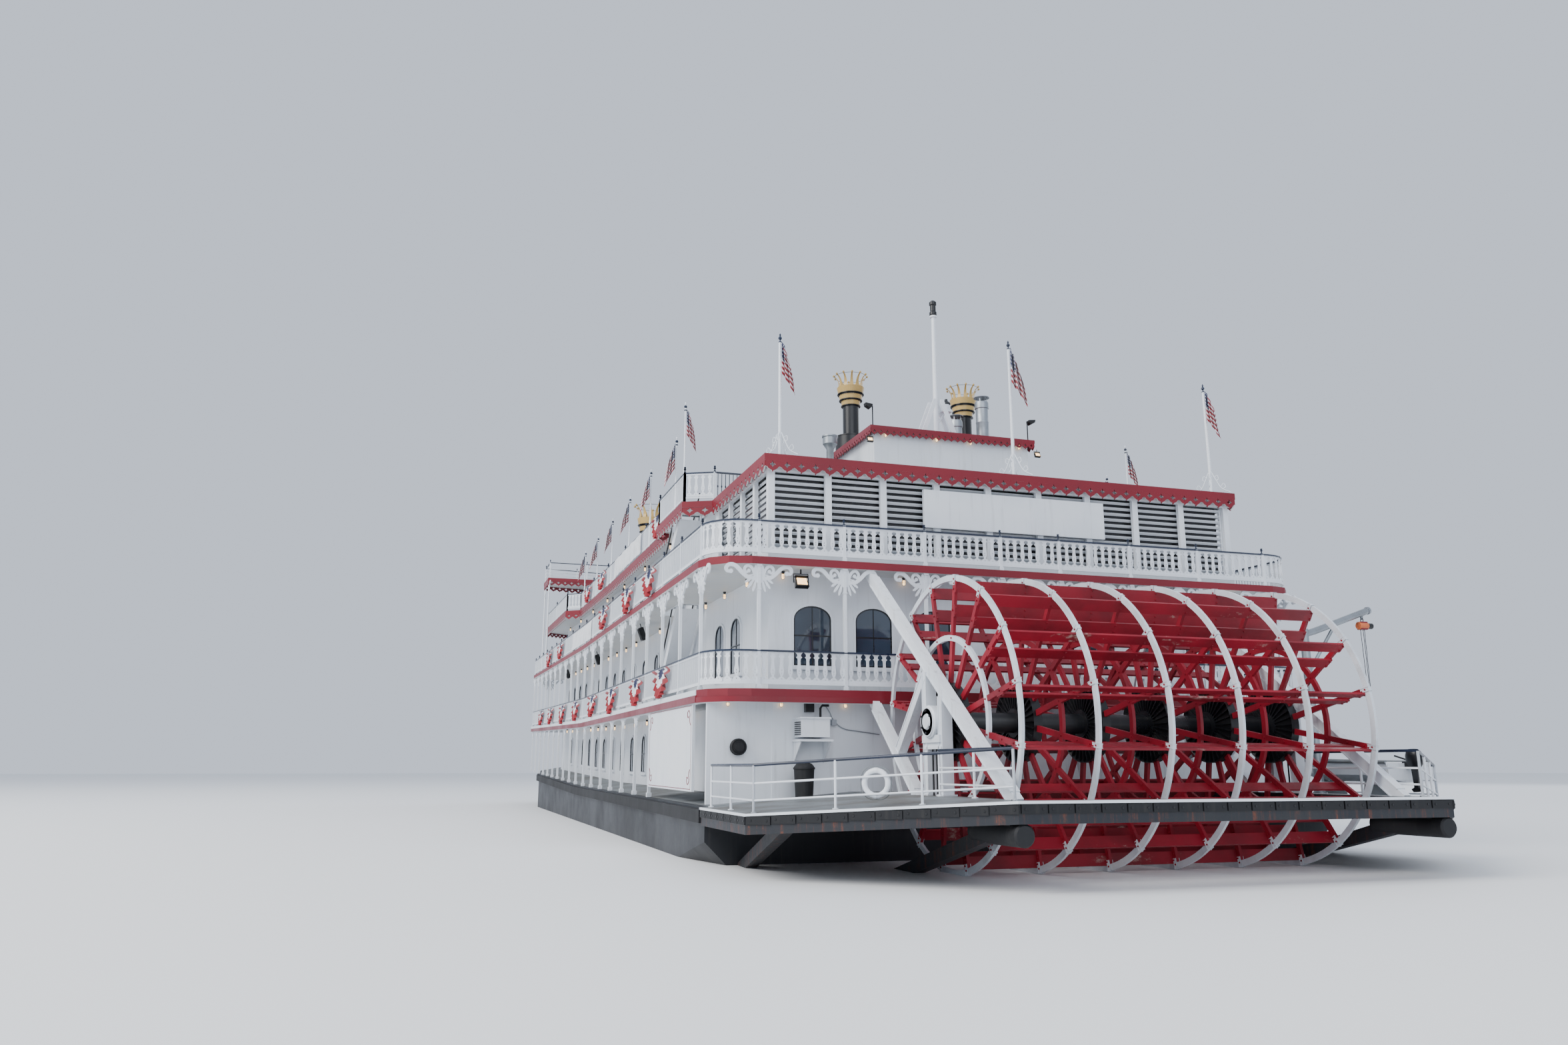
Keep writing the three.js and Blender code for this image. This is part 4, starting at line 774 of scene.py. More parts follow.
# Scroll brackets: u goes out from the column, v down from the deck above.
scroll = {
    "outer": [
        *((0.04, -0.37), (0.14, -0.345), (0.27, -0.335), (0.41, -0.235), (0.56, -0.085)),
        *((0.68, -0.035), (0.78, -0.055), (0.825, -0.13), (0.79, -0.205), (0.71, -0.2)),
    ],
    "inner": [
        *((0.09, -0.33), (0.13, -0.2), (0.18, -0.1), (0.26, -0.04)),
        *((0.34, -0.07), (0.37, -0.15), (0.32, -0.215), (0.26, -0.17)),
    ],
    "heel": [(0, -0.02), (0.1, -0.02), (0.16, -0.2), (0.12, -0.4), (0, -0.5)],
    "petals": ((14, 0.66, 0.034), (31, 0.62, 0.036), (50, 0.53, 0.034), (69, 0.40, 0.028)),
    "petalFoot": 0.1,
    "from": (0.03, -0.22),
    "thick": 0.045,
}


def scrollArm(points, wide, end, thick, steps=3):
    path = inPlane(curve(points, steps))
    places = [min(1, 0.15 + 0.75 * i / (len(path) - 1)) for i in range(len(path))]
    widths = [0.62 + 0.5 * math.sin(math.pi * place) for place in places]
    arm = swept(path, strip(wide, thick), up=(0, 1, 0), widths=widths)
    return joined(arm, plate(arcPoints(*points[-1], end, 0, 324, 9), -thick / 2, thick / 2))


# A leaf between the scrolls, at an angle from straight down.
def petal(degrees, far, wide):
    a = math.radians(degrees)
    along, across = (math.sin(a), -math.cos(a)), (math.cos(a), math.sin(a))
    near, (u0, v0) = scroll["petalFoot"], scroll["from"]
    outline = []
    for cosine, sine in circle(1, 10):
        d = (near + far) / 2 + (far - near) / 2 * cosine
        w = wide * sine * (0.65 + 0.35 * cosine) * 1.35
        outline.append((u0 + along[0] * d * 0.8 + across[0] * w, v0 + along[1] * d * 0.72 + across[1] * w))
    return outline


def bracket(size=1.0):
    thick = scroll["thick"]
    arms = [scrollArm(scroll["outer"], 0.088, 0.056, thick), scrollArm(scroll["inner"], 0.066, 0.046, thick * 0.9, 2)]
    leaves = [plate(petal(*leaf), -thick * 0.42, thick * 0.42) for leaf in scroll["petals"]]
    half = joined(arms, leaves, plate(scroll["heel"], -thick * 0.4, thick * 0.4))
    both = joined(half, half.scaled(x=-1)).scaled(size, 1, size)
    return joined(both, post(0, 0, 0.075, -0.05, -0.001), post(0, 0, 0.06, -0.72, -0.68))


deckRail("deck2Railing", boat["deck2"], ogeeBoard, "deck_2_rail", postTop=under3 - 0.002)
deckRail("deck3Railing", boat["deck3"], lensBoard, "deck_3_rail")

spots = [(x, y, under3, 0 if (x, y) in sidePosts else 90) for x, y in deckPosts]
makePiece("deck2Brackets", repeated(bracket(1.15), spots), "whiteTrim", "white_paint")

columns = {"first": 12.345, "pitch": 2.79, "count": 17, "y": 9.95}


def mainDeckColumns():
    y = columns["y"]
    floor = mainDeckAt(y) + 0.001
    column = joined(post(0, y, 0.05, floor, under2 - 0.001), post(0, y, 0.08, floor, floor + 0.139))
    unit = joined(column, bracket(0.8).moved(0, y, under2))
    units = [unit.moved(columns["first"] + columns["pitch"] * k) for k in range(columns["count"])]
    line = railLine(railing["inset"])
    seam = 3 * railing["turn"] + 2
    header = underRail(line[seam:] + line[: seam + 1], under2, -0.16, -0.003, 0.09)
    return joined(bothSides(units), header)


makePiece("mainDeckColumns", mainDeckColumns(), "whiteTrim", "white_paint", ["main_deck_columns"])


# The roof deck's rail: pickets along the sides, vase boards across the slants, a slim dark grille aft.
roofCorners = (
    (57.4, 7.9, -1, 0),
    (55.8, 9.5, 0, -1),
    (43.6, 9.5, 1, -1),
    (42.8, 8.75, 1, -1),
    (16.1, 8.75, -1, -1),
    (16.1, 9.2, -1, -1),
    (11.5, 9.2, 1, -1),
    (11.0, 8.244, 1, -1),
    (4.594, 8.244, 1, -1),
)
poleSpots = [(11.7, 9.095, 3.7), (13.1, 9.095, 2.8)] + [(20.5 + 5.28 * k, 8.645, 3.48) for k in range(5)]
poleTopForm = [(0.05, 0), (0.05, 0.03), (0.02, 0.05), (0.02, 0.09), (0.055, 0.12), (0.06, 0.15), (0.04, 0.19)]
poleTopForm += [(0.015, 0.21), (0.03, 0.24), (0.025, 0.27), (0, 0.31)]
poleTop = turnedForm(poleTopForm, 8, 1)


roofRailForm = {
    "postPitch": 5.58,
    "longSide": 3,
    "slant": (0.3, 2.5),
    "slantAft": 50,
    "grilleTo": 3.35,
    "grillePicket": 0.022,
    "knob": [(0.011, 0.5), (0.026, 0.53), (0.026, 0.57), (0.011, 0.6)],
    "finial": (0.24, 0.05),
}


def railPosts(spots, floor, *finialSize):
    top = floor + railing["postHigh"]
    unit = joined(post(0, 0, railing["post"], floor, top), finial(*finialSize).moved(z=top))
    return [unit.moved(x, y) for x, y in spots]


def roofRail():
    f, floor = roofRailForm, boat["roof"]
    line = insetLine(roofCorners[:-1], railing["inset"])
    half = len(line) // 2
    parts = [capRail(line + [line[0]], floor)]
    sides = list(zip(line[: half - 1], line[1:half]))
    for a, b in sides + [((x0, -y0), (x1, -y1)) for (x0, y0), (x1, y1) in sides]:
        slanted = f["slant"][0] < abs(a[0] - b[0]) < f["slant"][1] and a[0] < f["slantAft"]
        parts += [underRail((a, b), floor, 0.126, 0.18), underRail((a, b), floor, 0.965, 1.02)]
        parts.append(boardRun((a, b), floor, ogeeBoard, 0.05) if slanted else picketRun((a, b), floor))
        d = math.dist(a, b)
        count = max(1, round(d / f["postPitch"])) if d > f["longSide"] else 1
        parts += railPosts(divided(a, b, count), floor, *f["finial"])
    bow = (line[0], line[-1])
    parts += [underRail(bow, floor, 0.126, 0.18), picketRun(bow, floor)]
    knob = turnedForm(f["knob"], 6, 1)
    x, y = line[half - 1]
    for side in (1, -1):
        run = ((x, side * y), (x, side * f["grilleTo"]))
        knobs = repeated(knob, [(u, v, floor, t) for u, v, t in stations(run, railing["picketPitch"], 0.05)])
        grille = picketRun(run, floor, f["grillePicket"]).painted(1)
        parts += [underRail(run, floor, 0.126, 0.17), grille, knobs]
    for x, y, height in poleSpots:
        pole = turnedForm([(0.045, 0.0), (0.045, 1.2), (0.034, 1.25), (0.028, height)], 10)
        parts.append(bothSides(joined(pole, poleTop.moved(z=height - 0.31)).moved(x, y, floor)))
    return joined(parts)


makePiece("roofRailing", roofRail(), "whiteTrim navy", "white_paint", ["roof_rail"])

bridge = {
    "corners": ((50, 10.05, 1, -1), (53, 10.05, -1, -1), (54.2, 5.6, -1, -1), (57, 5.6, -1, -1)),
    "top": 10.85,
    "rows": (0.15, 0.38, 0.61, 0.84),
    "postPitch": 2.6,
}


def bridgeRail():
    line = insetLine(bridge["corners"], railing["inset"])
    loop = line + [line[0]]
    parts = [capRail(loop, bridge["top"])]
    parts += [tube(inPlane(loop, "xy", bridge["top"] + row), 0.018, 6, up=(0, 0, 1)) for row in bridge["rows"]]
    for a, b in zip(loop, loop[1:]):
        spots = divided(a, b, max(1, round(math.dist(a, b) / bridge["postPitch"])))
        parts += railPosts(spots[:-1], bridge["top"])
    return joined(parts)


makePiece("bridgeRailing", bridgeRail(), "whiteTrim navy", "white_paint", ["bridge_rail"])
print("rails made")


# Paddle wheel, about its own axle

wheel = {
    "rim": (3.5, 3.65),
    "rimThick": 0.07,
    "ring": (2.01, 2.15),
    "frames": (-4.81, -2.886, -0.962, 0.962, 2.886, 4.81),
    "phase": 10,
    "arms": 16,
    "arm": ((0.9, 0.075), (3.5, 0.06)),
    "armThick": 0.08,
    "clamp": (3.4, 3.66, 0.055),
    "bolts": ((3.55, 0), (3.44, 0.03), (2.08, 0), (2.77, 0), (3.3, 0)),
    "ribs": 32,
    "boards": ((2.62, 2.92), (3.22, 3.52)),
    "boardAt": (0.061, 0.111),
    "boardHalf": 4.85,
    "shaftEnd": [(0.25, 4.93), (0.24, 4.95), (0.15, 4.95), (0.15, 5.15), (0.14, 5.17), (0.0, 5.17)],
}


def flatRing(inner, outer, thick, sides, finish=0):
    path = inPlane(circle((inner + outer) / 2, sides))
    return swept(path, strip(outer - inner, thick), up=(0, 1, 0), closed=True, finish=finish)


def onArms(bit, count=wheel["arms"]):
    return joined([bit.turned(-(wheel["phase"] + 360 / count * k), "Y") for k in range(count)])


# One frame: two rings, the arms with their clamps and bolts, and the ribbed hub disc.
def wheelFrame(y, whiteRing=False):
    t = wheel["armThick"] / 2
    (r0, w0), (r1, w1) = wheel["arm"]
    arm = plate([(r0, -w0), (r1, -w1), (r1, w1), (r0, w0)], -t, t)
    c0, c1, high = wheel["clamp"]
    clamp = block(c0, c1, -t * 1.2, t * 1.2, -high, high, 1)
    lips = [block(c0, c1 + 0.005, -t * 1.45, t * 1.45, low, low + 0.012, 1) for low in (-high, high - 0.012)]
    pin = disc([(0.022, -t * 1.7), (0.022, t * 1.7)], 6)
    bolts = [pin.moved(x, 0, z) for x, z in wheel["bolts"]]
    rib = block(0.34, 0.95, -0.13, 0.13, -0.012, 0.012, 2)
    hubHalf = [(0.252, 0.16), (0.36, 0.16), (0.36, 0.09), (0.9, 0.05), (0.98, 0.12)]
    hub = disc([(r, -d) for r, d in hubHalf] + hubHalf[::-1], 48, 2)
    rim = flatRing(*wheel["rim"], wheel["rimThick"], 96, 1)
    ring = flatRing(*wheel["ring"], wheel["armThick"] * 1.02, 64, int(whiteRing))
    return joined(rim, ring, onArms(joined(arm, clamp, lips, bolts)), hub, onArms(rib, wheel["ribs"])).moved(y=y)


def wheelBoards():
    (low, high), half = wheel["boardAt"], wheel["boardHalf"]
    nail = disc([(0.0, -0.01), (0.03, -0.01), (0.024, 0.012), (0.0, 0.014)], 6, 3).turned(-90, "X")
    bits = []
    for a, b in wheel["boards"]:
        bits.append(block(a, b, -half, half, low, high, 3))
        bits += [nail.moved((a + b) / 2 + d, y, high + 0.01) for y in wheel["frames"] for d in (-0.08, 0.08)]
    return onArms(joined(bits))


onWheel = {"body": "paddle_wheel", "sheered": False}
first, *inner, last = wheel["frames"]
for k, y in enumerate(inner, 2):
    makePiece(f"wheelFrame{k}", wheelFrame(y), "wheelRed rim black", "wheel_red", [f"wheel_frame_{k}"], **onWheel)
wheelEnds = joined(wheelFrame(first), wheelFrame(last, True), wheelBoards())
wheelKinds, endNode = "wheelRed rim black wheelBoard", "wheel_end_frames_and_buckets"
makePiece("wheelEndFramesAndBoards", wheelEnds, wheelKinds, "wheel_red", [endNode], **onWheel)
shaftForm = [(r, -y) for r, y in reversed(wheel["shaftEnd"])] + wheel["shaftEnd"]
makePiece("wheelShaft", disc(shaftForm, 32), "black", "black_paint", ["wheel_shaft"], smooth=30, **onWheel)
print("wheel made")


# Roof edges with sawn teeth

# One tooth with its pierced spade, v down from the roof.
tooth = {
    "pitch": 0.45,
    "deep": 0.545,
    "edge": [(0.03, -0.5), (0.085, -0.475), (0.135, -0.445), (0.17, -0.4), (0.225, -0.375)],
    "spade": [(0.02, -0.255), (0.055, -0.295), (0.108, -0.32), (0.055, -0.338), (0.02, -0.37)],
}


def toothBoard(pitch, height, thick):
    k, s = pitch / tooth["pitch"], height / tooth["deep"]
    edge, spade = ([(u * k, v * s) for u, v in tooth[form]] for form in ("edge", "spade"))
    outline = [(-pitch / 2, 0), *[(-u, v) for u, v in edge[::-1]], (0, -tooth["deep"] * s), *edge, (pitch / 2, 0)]
    hole = [(0, -0.2 * s), *spade, (0, -0.42 * s), *[(-u, v) for u, v in spade[::-1]]]
    return plate(outline, -thick / 2, thick / 2, holes=[hole])


# Sawn boards along every side of a closed line but its shortest.
def toothRun(line, top, pitch, height, thick):
    parts = []
    loop = line + [line[0]]
    for a, b in zip(loop, loop[1:]):
        d = math.dist(a, b)
        if d > 0.3:
            spots = stations((a, b), pitch)
            board = toothBoard(d / len(spots) * 1.001, height, thick)
            parts.append(repeated(board, [(x, y, top, t) for x, y, t in spots]))
    return joined(parts)


well = {"x": (12.5, 15.7), "y": (8.12, 9.02), "lining": 0.03}


def rectangle(x0, x1, y0, y1):
    return [(x0, y0), (x1, y0), (x1, y1), (x0, y1)]


def roofDeck():
    top = boat["roof"]
    wells = [[(x, s * y) for x, y in rectangle(*well["x"], *well["y"])] for s in (1, -1)]
    lip = [(-0.02, -0.06), (0.02, -0.06), (0.02, 0.01), (-0.02, 0.01)]
    return joined(
        plate(insetLine(roofCorners, 0), underRoof, top - 0.001, "xy", wells),
        toothRun(insetLine(roofCorners, 0.024), top - 0.02, tooth["pitch"], 0.53, 0.045),
        swept(inPlane(insetLine(roofCorners, 0.02), "xy", top - 0.01), lip, closed=True),
    )


makePiece("roofDeck", roofDeck(), "deck", "crimson_paint", ["roof_deck"])


# A flat slab with small sawn teeth under its edge.
def toothedSlab(x0, x1, half, low, high, top, deep):
    slab = plate(rectangle(x0, x1, -half, half), low, high, "xy")
    edge = rectangle(x0 + 0.022, x1 - 0.022, -half + 0.022, half - 0.022)
    return joined(slab, toothRun(edge, top, 0.24, deep, 0.04))


# The roof of the house on the roof deck, with a raised middle.
upperSlab = plate(rectangle(9.15, 16.0, -2.8, 2.8), 10.47, 10.5, "xy")
texasRoof = joined(toothedSlab(8.75, 16.4, 3.2, 10.351, 10.47, 10.45, 0.33), upperSlab)
makePiece("texasRoof", texasRoof, "crimson", "crimson_paint", ["texas_roof"])

# Louvres: tilted blades behind the screen's posts, and black sheets behind them that paint the shade seen through the
# gaps between the blades.
louvre = {
    "aft": 4.8,
    "fore": 10.9,
    "half": 8.07,
    "sill": 5.15,
    "head": 7.42,
    "blades": 12,
    "inset": 0.135,
    "deep": 0.11,
    "thick": 0.018,
    "tilt": 34,
    "screen": 0.02,
}


def louvreBlades():
    v = louvre
    pitch = (v["head"] - v["sill"]) / v["blades"]
    a = math.radians(v["tilt"])
    flat = strip(v["deep"], v["thick"])
    section = [(u * math.cos(a) - w * math.sin(a), u * math.sin(a) + w * math.cos(a)) for u, w in flat]
    x, y = v["aft"] + v["inset"] + v["deep"] / 2, v["half"] - v["inset"] - v["deep"] / 2
    path = [(v["fore"], y), (x, y), (x, -y), (v["fore"], -y)]
    heights = [v["sill"] + (k + 0.5) * pitch for k in range(v["blades"])]
    blades = [swept(inPlane(path, "xy", z), section) for z in heights]
    return joined(blades, bothSides(post(x, y, 0.05, v["sill"], v["head"])))


# Black sheets behind the blades: painted shade for the dark gaps between them.
def louvreShadeSheets():
    v = louvre
    behind = v["inset"] + v["deep"] + 0.05
    x, y, thin, tall = v["aft"] + behind, v["half"] - behind, v["screen"], (v["sill"], v["head"])
    return joined(block(x, x + thin, -y, y, *tall), bothSides(block(x, v["fore"] - 0.02, y - thin, y, *tall)))


makePiece("louvreBlades", louvreBlades(), "whiteTrim", "white_paint", ["louvre_slats"])
makePiece("louvreShadeSheets", louvreShadeSheets(), "black", "white_paint")


# The four sides of a rectangle, each as (x0, x1, y0, y1).
def border(x0, x1, y0, y1, wide):
    return ((x0, x0 + wide, y0, y1), (x1 - wide, x1, y0, y1), (x0, x1, y0, y0 + wide), (x0, x1, y1 - wide, y1))


linings = [
    block(*side, top - boat["thick"] - 0.02, top + 0.03)
    for top in (boat["deck3"], boat["roof"])
    for side in border(*well["x"], *well["y"], well["lining"])
]
makePiece("wellLinings", bothSides(linings), "whiteTrim", "white_paint")
print("roofs and louvres made")


# Chimneys, vents and mast

crown = {
    "bands": ((12.34, 12.54, 0.44, 0.46), (12.6, 12.82, 0.53, 0.56), (12.93, 13.22, 0.6, 0.66)),
    "discs": ((12.31, 0.47), (12.56, 0.5), (12.59, 0.56), (12.84, 0.58), (12.9, 0.64)),
    "prong": [(0.6, 13.16), (0.56, 13.36), (0.58, 13.54), (0.66, 13.7), (0.8, 13.83)],
    "ball": [(0, -0.055), (0.035, -0.045), (0.055, 0), (0.035, 0.045), (0, 0.055)],
    "prongs": 12,
    "hoop": (0.76, 13.8, 0.01),
    "neck": 12.35,
    "pipe": 0.385,
}


# The crown is drawn for a pipe of the radius above, and sized to this chimney's.
def chimney(x, y, foot, base, r, neck):
    s = r / crown["pipe"]

    def up(z):
        return neck + (z - crown["neck"]) * s

    wide, top = 1.95 * r, foot + base
    collar = [(wide, foot), (wide, top - 0.03), (wide + 0.02, top - 0.03), (wide + 0.02, top), (r, top + 0.01)]
    pipe = [(r, neck + 0.8 * s), (r * 0.8, neck + 0.8 * s), (r * 0.8, neck)]
    parts = [turnedForm(collar + pipe, 48)]
    for z0, z1, r0, r1 in crown["bands"]:
        band = [(r0 * s, up(z0)), (r1 * s, up(z1)), ((r1 - 0.03) * s, up(z1) + 0.01), ((r0 - 0.05) * s, up(z0 + 0.02))]
        parts.append(turnedForm(band, 48, 1))
    for z, q in crown["discs"]:
        low, high = up(z) - 0.014, up(z) + 0.014
        parts.append(turnedForm([(r, low), (q * s, low), (q * s, high), (r, high)], 48))
    path = [(q[0] * s, 0, up(q[1])) for q in curve(crown["prong"], 3)]
    widths = [1.0 - 0.72 * i / (len(path) - 1) for i in range(len(path))]
    prong = swept(path, strip(0.19 * s, 0.024), up=(1, 0, 0.01), widths=widths, finish=1)
    ball = turnedForm(crown["ball"], 10, 1).scaled(s, s, s).moved(path[-1][0], 0, path[-1][2])
    n = crown["prongs"]
    parts += [joined(prong, ball).turned(360 / n * (k + 0.5)) for k in range(n)]
    radius, z, wire = crown["hoop"]
    return joined(parts, hoop(radius * s, wire * s, 48, 5).moved(z=up(z))).moved(x, y)


# Each pair: piece and node, x, y, then foot, base, radius and neck.
chimneys = (
    ("aftChimney", "aft_chimney", 12.7, 2.4, (10.501, 0.68, 0.31, 12.45)),
    ("foreChimney", "forward_chimney", 42.0, 4.6, (7.901, 0.7, 0.51, 12.57)),
)
for name, node, x, y, form in chimneys:
    for side, word in hands:
        stack = chimney(x, side * y, *form)
        makePiece(name + word, stack, "black gold", "black_paint", [f"{node}_{word.lower()}"])


def vent(name, y, r, top, node):
    foot, rim = boat["houseTop"], top - 0.25
    pipe = [(1.12, foot), (1.12, foot + 0.05), (1, foot + 0.06)]
    for z in (foot + 0.55, top - 1.1):
        pipe += [(1, z), (1.04, z + 0.015), (1.04, z + 0.05), (1, z + 0.065)] if z > foot + 0.3 else []
    pipe += [(1, rim - 0.28), (1.12, rim - 0.26), (1.12, rim - 0.06), (1.04, rim), (0.9, rim), (0.9, rim - 0.3)]
    cap = [(0.0, top - 0.06), (1.25, top - 0.08), (1.27, top - 0.06), (0.5, top - 0.01), (0.0, top)]
    forms = [turnedForm([(q * r, z) for q, z in form], 32) for form in (pipe, cap)]
    legs = [block(0.82 * r, 0.9 * r, -0.02, 0.02, rim - 0.15, top - 0.05).turned(90 * k + 45) for k in range(4)]
    makePiece(name, joined(forms, legs).moved(11.2, y), "zinc", "galvanised", [node])


vent("ventLarge", -2.42, 0.24, 12.85, "vent_large")
vent("ventSmall", -1.3, 0.22, 12.0, "vent_small")

# A galvanised drum on its pipe beside the house on the roof.
drumForm = [(0.2, 7.902), (0.2, 7.93), (0.13, 7.94), (0.13, 9.93), (0.24, 10.1), (0.26, 10.12), (0.26, 10.36)]
drumForm += [(0.29, 10.38), (0.29, 10.43), (0.12, 10.48), (0, 10.49)]
makePiece("roofDrum", turnedForm(drumForm, 28).moved(10.4, 4.1), "zinc", "galvanised")

mastForm = {
    "x": 10.2,
    "pole": [(0.1, 10.502), (0.1, 12.0), (0.075, 15.38), (0.13, 15.4), (0.13, 15.46)],
    "light": [
        *((0.1, 15.46), (0.14, 15.5), (0.14, 15.6), (0.11, 15.64), (0.11, 15.86)),
        *((0.14, 15.9), (0.14, 16.0), (0.08, 16.06), (0, 16.1)),
    ],
    "leg": [(0.62, 10.582), (0.79, 10.582), (0.2, 12.1), (0.09, 12.1), (0.09, 11.95)],
    "arm": [(-0.1, 11.3), (-0.3, 11.6), (-0.4, 11.72)],
    "lampY": -0.42,
    "lamp": [(0.1, 11.74), (0.12, 11.77), (0.12, 11.99), (0.1, 12.01)],
    "lampCap": [(0.16, 12.01), (0.16, 12.05), (0.06, 12.15), (0.05, 12.21), (0, 12.23)],
}


def mast():
    m = mastForm
    base = block(-0.3, 0.3, -0.79, 0.79, boat["houseTop"], boat["houseTop"] + 0.08)
    leg = plate(m["leg"], -0.03, 0.03, "yz")
    legs = bothSides(leg.moved(-0.22), leg.moved(0.22))
    arm = tube(inPlane(m["arm"], "yz"), 0.035, 6, up=(1, 0, 0))
    shelf = block(-0.16, 0.16, -0.6, -0.22, 11.7, 11.74)
    lamp = joined(turnedForm(m["lamp"], 16), turnedForm(m["lampCap"], 16, 1)).moved(y=m["lampY"])
    forms = [turnedForm(m["pole"], 16), turnedForm(m["light"], 16, 1)]
    return joined(forms, base, legs, arm, shelf, lamp).moved(m["x"])


makePiece("mastWithLamps", mast(), "whiteTrim black", "white_paint", ["mast"])

# Flagpoles at the stern, each on four curled stays: main, curl and knot as (radius, sides, points).
pole = {
    "x": 5.0,
    "foot": 7.902,
    "stays": (
        (0.018, 6, [(0.05, 0.78), (0.17, 0.5), (0.33, 0.2), (0.6, 0.03)]),
        (0.012, 5, [(0.3, 0.25), (0.4, 0.36), (0.46, 0.24), (0.38, 0.18)]),
        (0.012, 5, [(0.12, 0.6), (0.22, 0.66), (0.25, 0.53), (0.18, 0.48)]),
    ),
}


def sternPole(high):
    stay = joined([tube(inPlane(curve(points, 5)), r, n, up=(0, 1, 0)) for r, n, points in pole["stays"]])
    form = [(0.12, 0), (0.12, 0.05), (0.055, 0.08), (0.055, 0.9), (0.045, high - 0.3)]
    stays = [stay.turned(90 * k + 45) for k in range(4)]
    return joined(turnedForm(form, 12), poleTop.moved(z=high - 0.31), stays)


# Limp flags: the cloth gathers in upright pleats beside its pole, and its outer end hangs lower.
flag = {
    "folds": 6,
    "across": 42,
    "down": 12,
    "gather": (0.16, 0.16, 0.03),
    "hoistGap": 0.055,
    "below": 0.24,
    "slope": 0.5,
    "deep": 0.09,
    "drawn": 1.15,
    "centre": (1.8, 1.2),
    "stern": (1.6, 1.05),
    "row": (1.45, 0.95),
}


def limpFlag(name, x, y, top, size, rests, turn, seed):
    shift = random.Random(seed).random() * 2
    fly, hoist = size
    a = math.radians(turn)
    start, more, ripple = flag["gather"]
    rows, uvs = [], []
    for j in range(flag["down"] + 1):
        t = j / flag["down"]
        wide = (start + more * t + ripple * math.sin(3 * t + shift)) * fly / flag["drawn"]
        for i in range(flag["across"] + 1):
            s = i / flag["across"]
            fold = math.sin(math.pi * flag["folds"] * s + 0.8 * math.sin(2.2 * t + shift))
            sway = 0.02 * math.sin(4 * t + 3 * s + shift)
            deep = flag["deep"] * fly / flag["drawn"] * min(1, 6 * s) * (0.8 + 0.2 * math.sin(5 * s + shift))
            drop = flag["slope"] * fly * s * (0.75 + 0.25 * s)
            u, v = flag["hoistGap"] + wide * s, fold * deep + sway * s
            across = (x - u * math.cos(a) - v * math.sin(a), y - u * math.sin(a) + v * math.cos(a))
            rows.append((*across, top - flag["below"] - hoist * t - drop))
            uvs.append((s, 1 - t))
    hungCloth(name, "flag", rows, gridFaces(flag["across"], flag["down"]), size, rests, uvs)


# Each pole with its flag: name, y, height, flag's size, its turn and its seed.
for word, y, top, size, turn, seed in (
    ("Port", 7.65, 11.85, "stern", 50, 1),
    ("Starboard", -7.65, 11.85, "stern", 30, 2),
    ("Centre", -0.16, 12.55, "centre", 60, 3),
):
    node = f"flagpole_{word.lower()}"
    form = sternPole(top - pole["foot"]).moved(pole["x"], y, pole["foot"])
    makePiece("sternPole" + word, form, "whiteTrim navy", "white_paint", [node])
    limpFlag("flagStern" + word, pole["x"], y, top, flag[size], "sternPoleCentre", turn, seed)
for i, (x, y, height) in enumerate(poleSpots):
    turn = 6 * (i % 3) - 100 if i else 60
    for side, word in hands:
        place = (x, side * y, boat["roof"] + height)
        limpFlag(f"flagRow{word}{i + 1}", *place, flag["row"], "roofRailing", turn, 10 + i + side)
print("roof gear and flags made")


# Windows: smooth arched frames that cover the edge of each opening, with thin bars over the glass

window = {"wide": 0.07, "thick": 0.05, "bar": 0.035, "sillOut": 0.09, "pane": 0.014, "ledge": 0.12}


def archOutline(wide, sill, head, flat, grow=0.0):
    rise = flat * wide
    centre = head - rise
    arc = [(u * (wide / 2 + grow), centre + v * (rise + grow)) for u, v in arcPoints(0, 0, 1, 0, 180, 14)]
    return [(-wide / 2 - grow, sill - grow), (wide / 2 + grow, sill - grow), *arc]


def archFrame(wide, sill, head, flat=0.5):
    w = window
    opening = (wide, sill, head, flat)
    inner = archOutline(*opening)
    ring = plate(archOutline(*opening, w["wide"]), 0.001, w["thick"], holes=[inner])
    pane = plate(inner, 0.002, w["pane"], finish=2)
    low = w["pane"] - 0.002
    sash = plate(inner, low, w["pane"] + 0.02, holes=[archOutline(*opening, -w["bar"])], finish=1)
    middle, bar = (sill + head) / 2, w["bar"] / 2
    cross = block(-wide / 2, wide / 2, low, w["pane"] + 0.02, middle - bar, middle + bar, 1)
    upright = block(-0.011, 0.011, low, w["pane"] + 0.015, sill, head - 0.03, 1)
    out, foot = wide / 2 + w["ledge"], sill - w["wide"]
    return joined(ring, pane, sash, cross, upright, block(-out, out, 0.001, w["sillOut"], foot - 0.05, foot + 0.005))


# Rows of windows along the port side: first x, pitch, count, y, then the form of one.
windowRows = (
    (15.2, 2.9, 13, 8.0, (0.95, -1.42, 0.15)),
    (18.6, 2.79, 13, 8.0, (1.0, 1.757, 3.49, 0.4)),
    (8.47, 2.06, 2, 8.0, (1.2, 1.757, 3.49, 0.34)),
    (19.4, 2.79, 12, 8.07, (0.9, 5.425, 7.125)),
)
windows = [
    archFrame(*form).moved(x + pitch * k, y) for x, pitch, count, y, form in windowRows for k in range(count)
]
windows += [archFrame(1.15, 1.757, 3.49, 0.35).turned(90).moved(5.0, y) for y in (2.85, 4.76, 6.67)]
makePiece("windowFrames", bothSides(windows), "whiteTrim black glass", "white_paint")

# Stairs on each side, going up towards the stern: stringers, treads and dark handrails
stairs = {
    "top": 12.9,
    "foot": 16.8,
    "y": (8.17, 8.97),
    "steps": 15,
    "tread": 0.04,
    "string": 0.05,
    "deep": 0.3,
    "rail": 0.95,
}


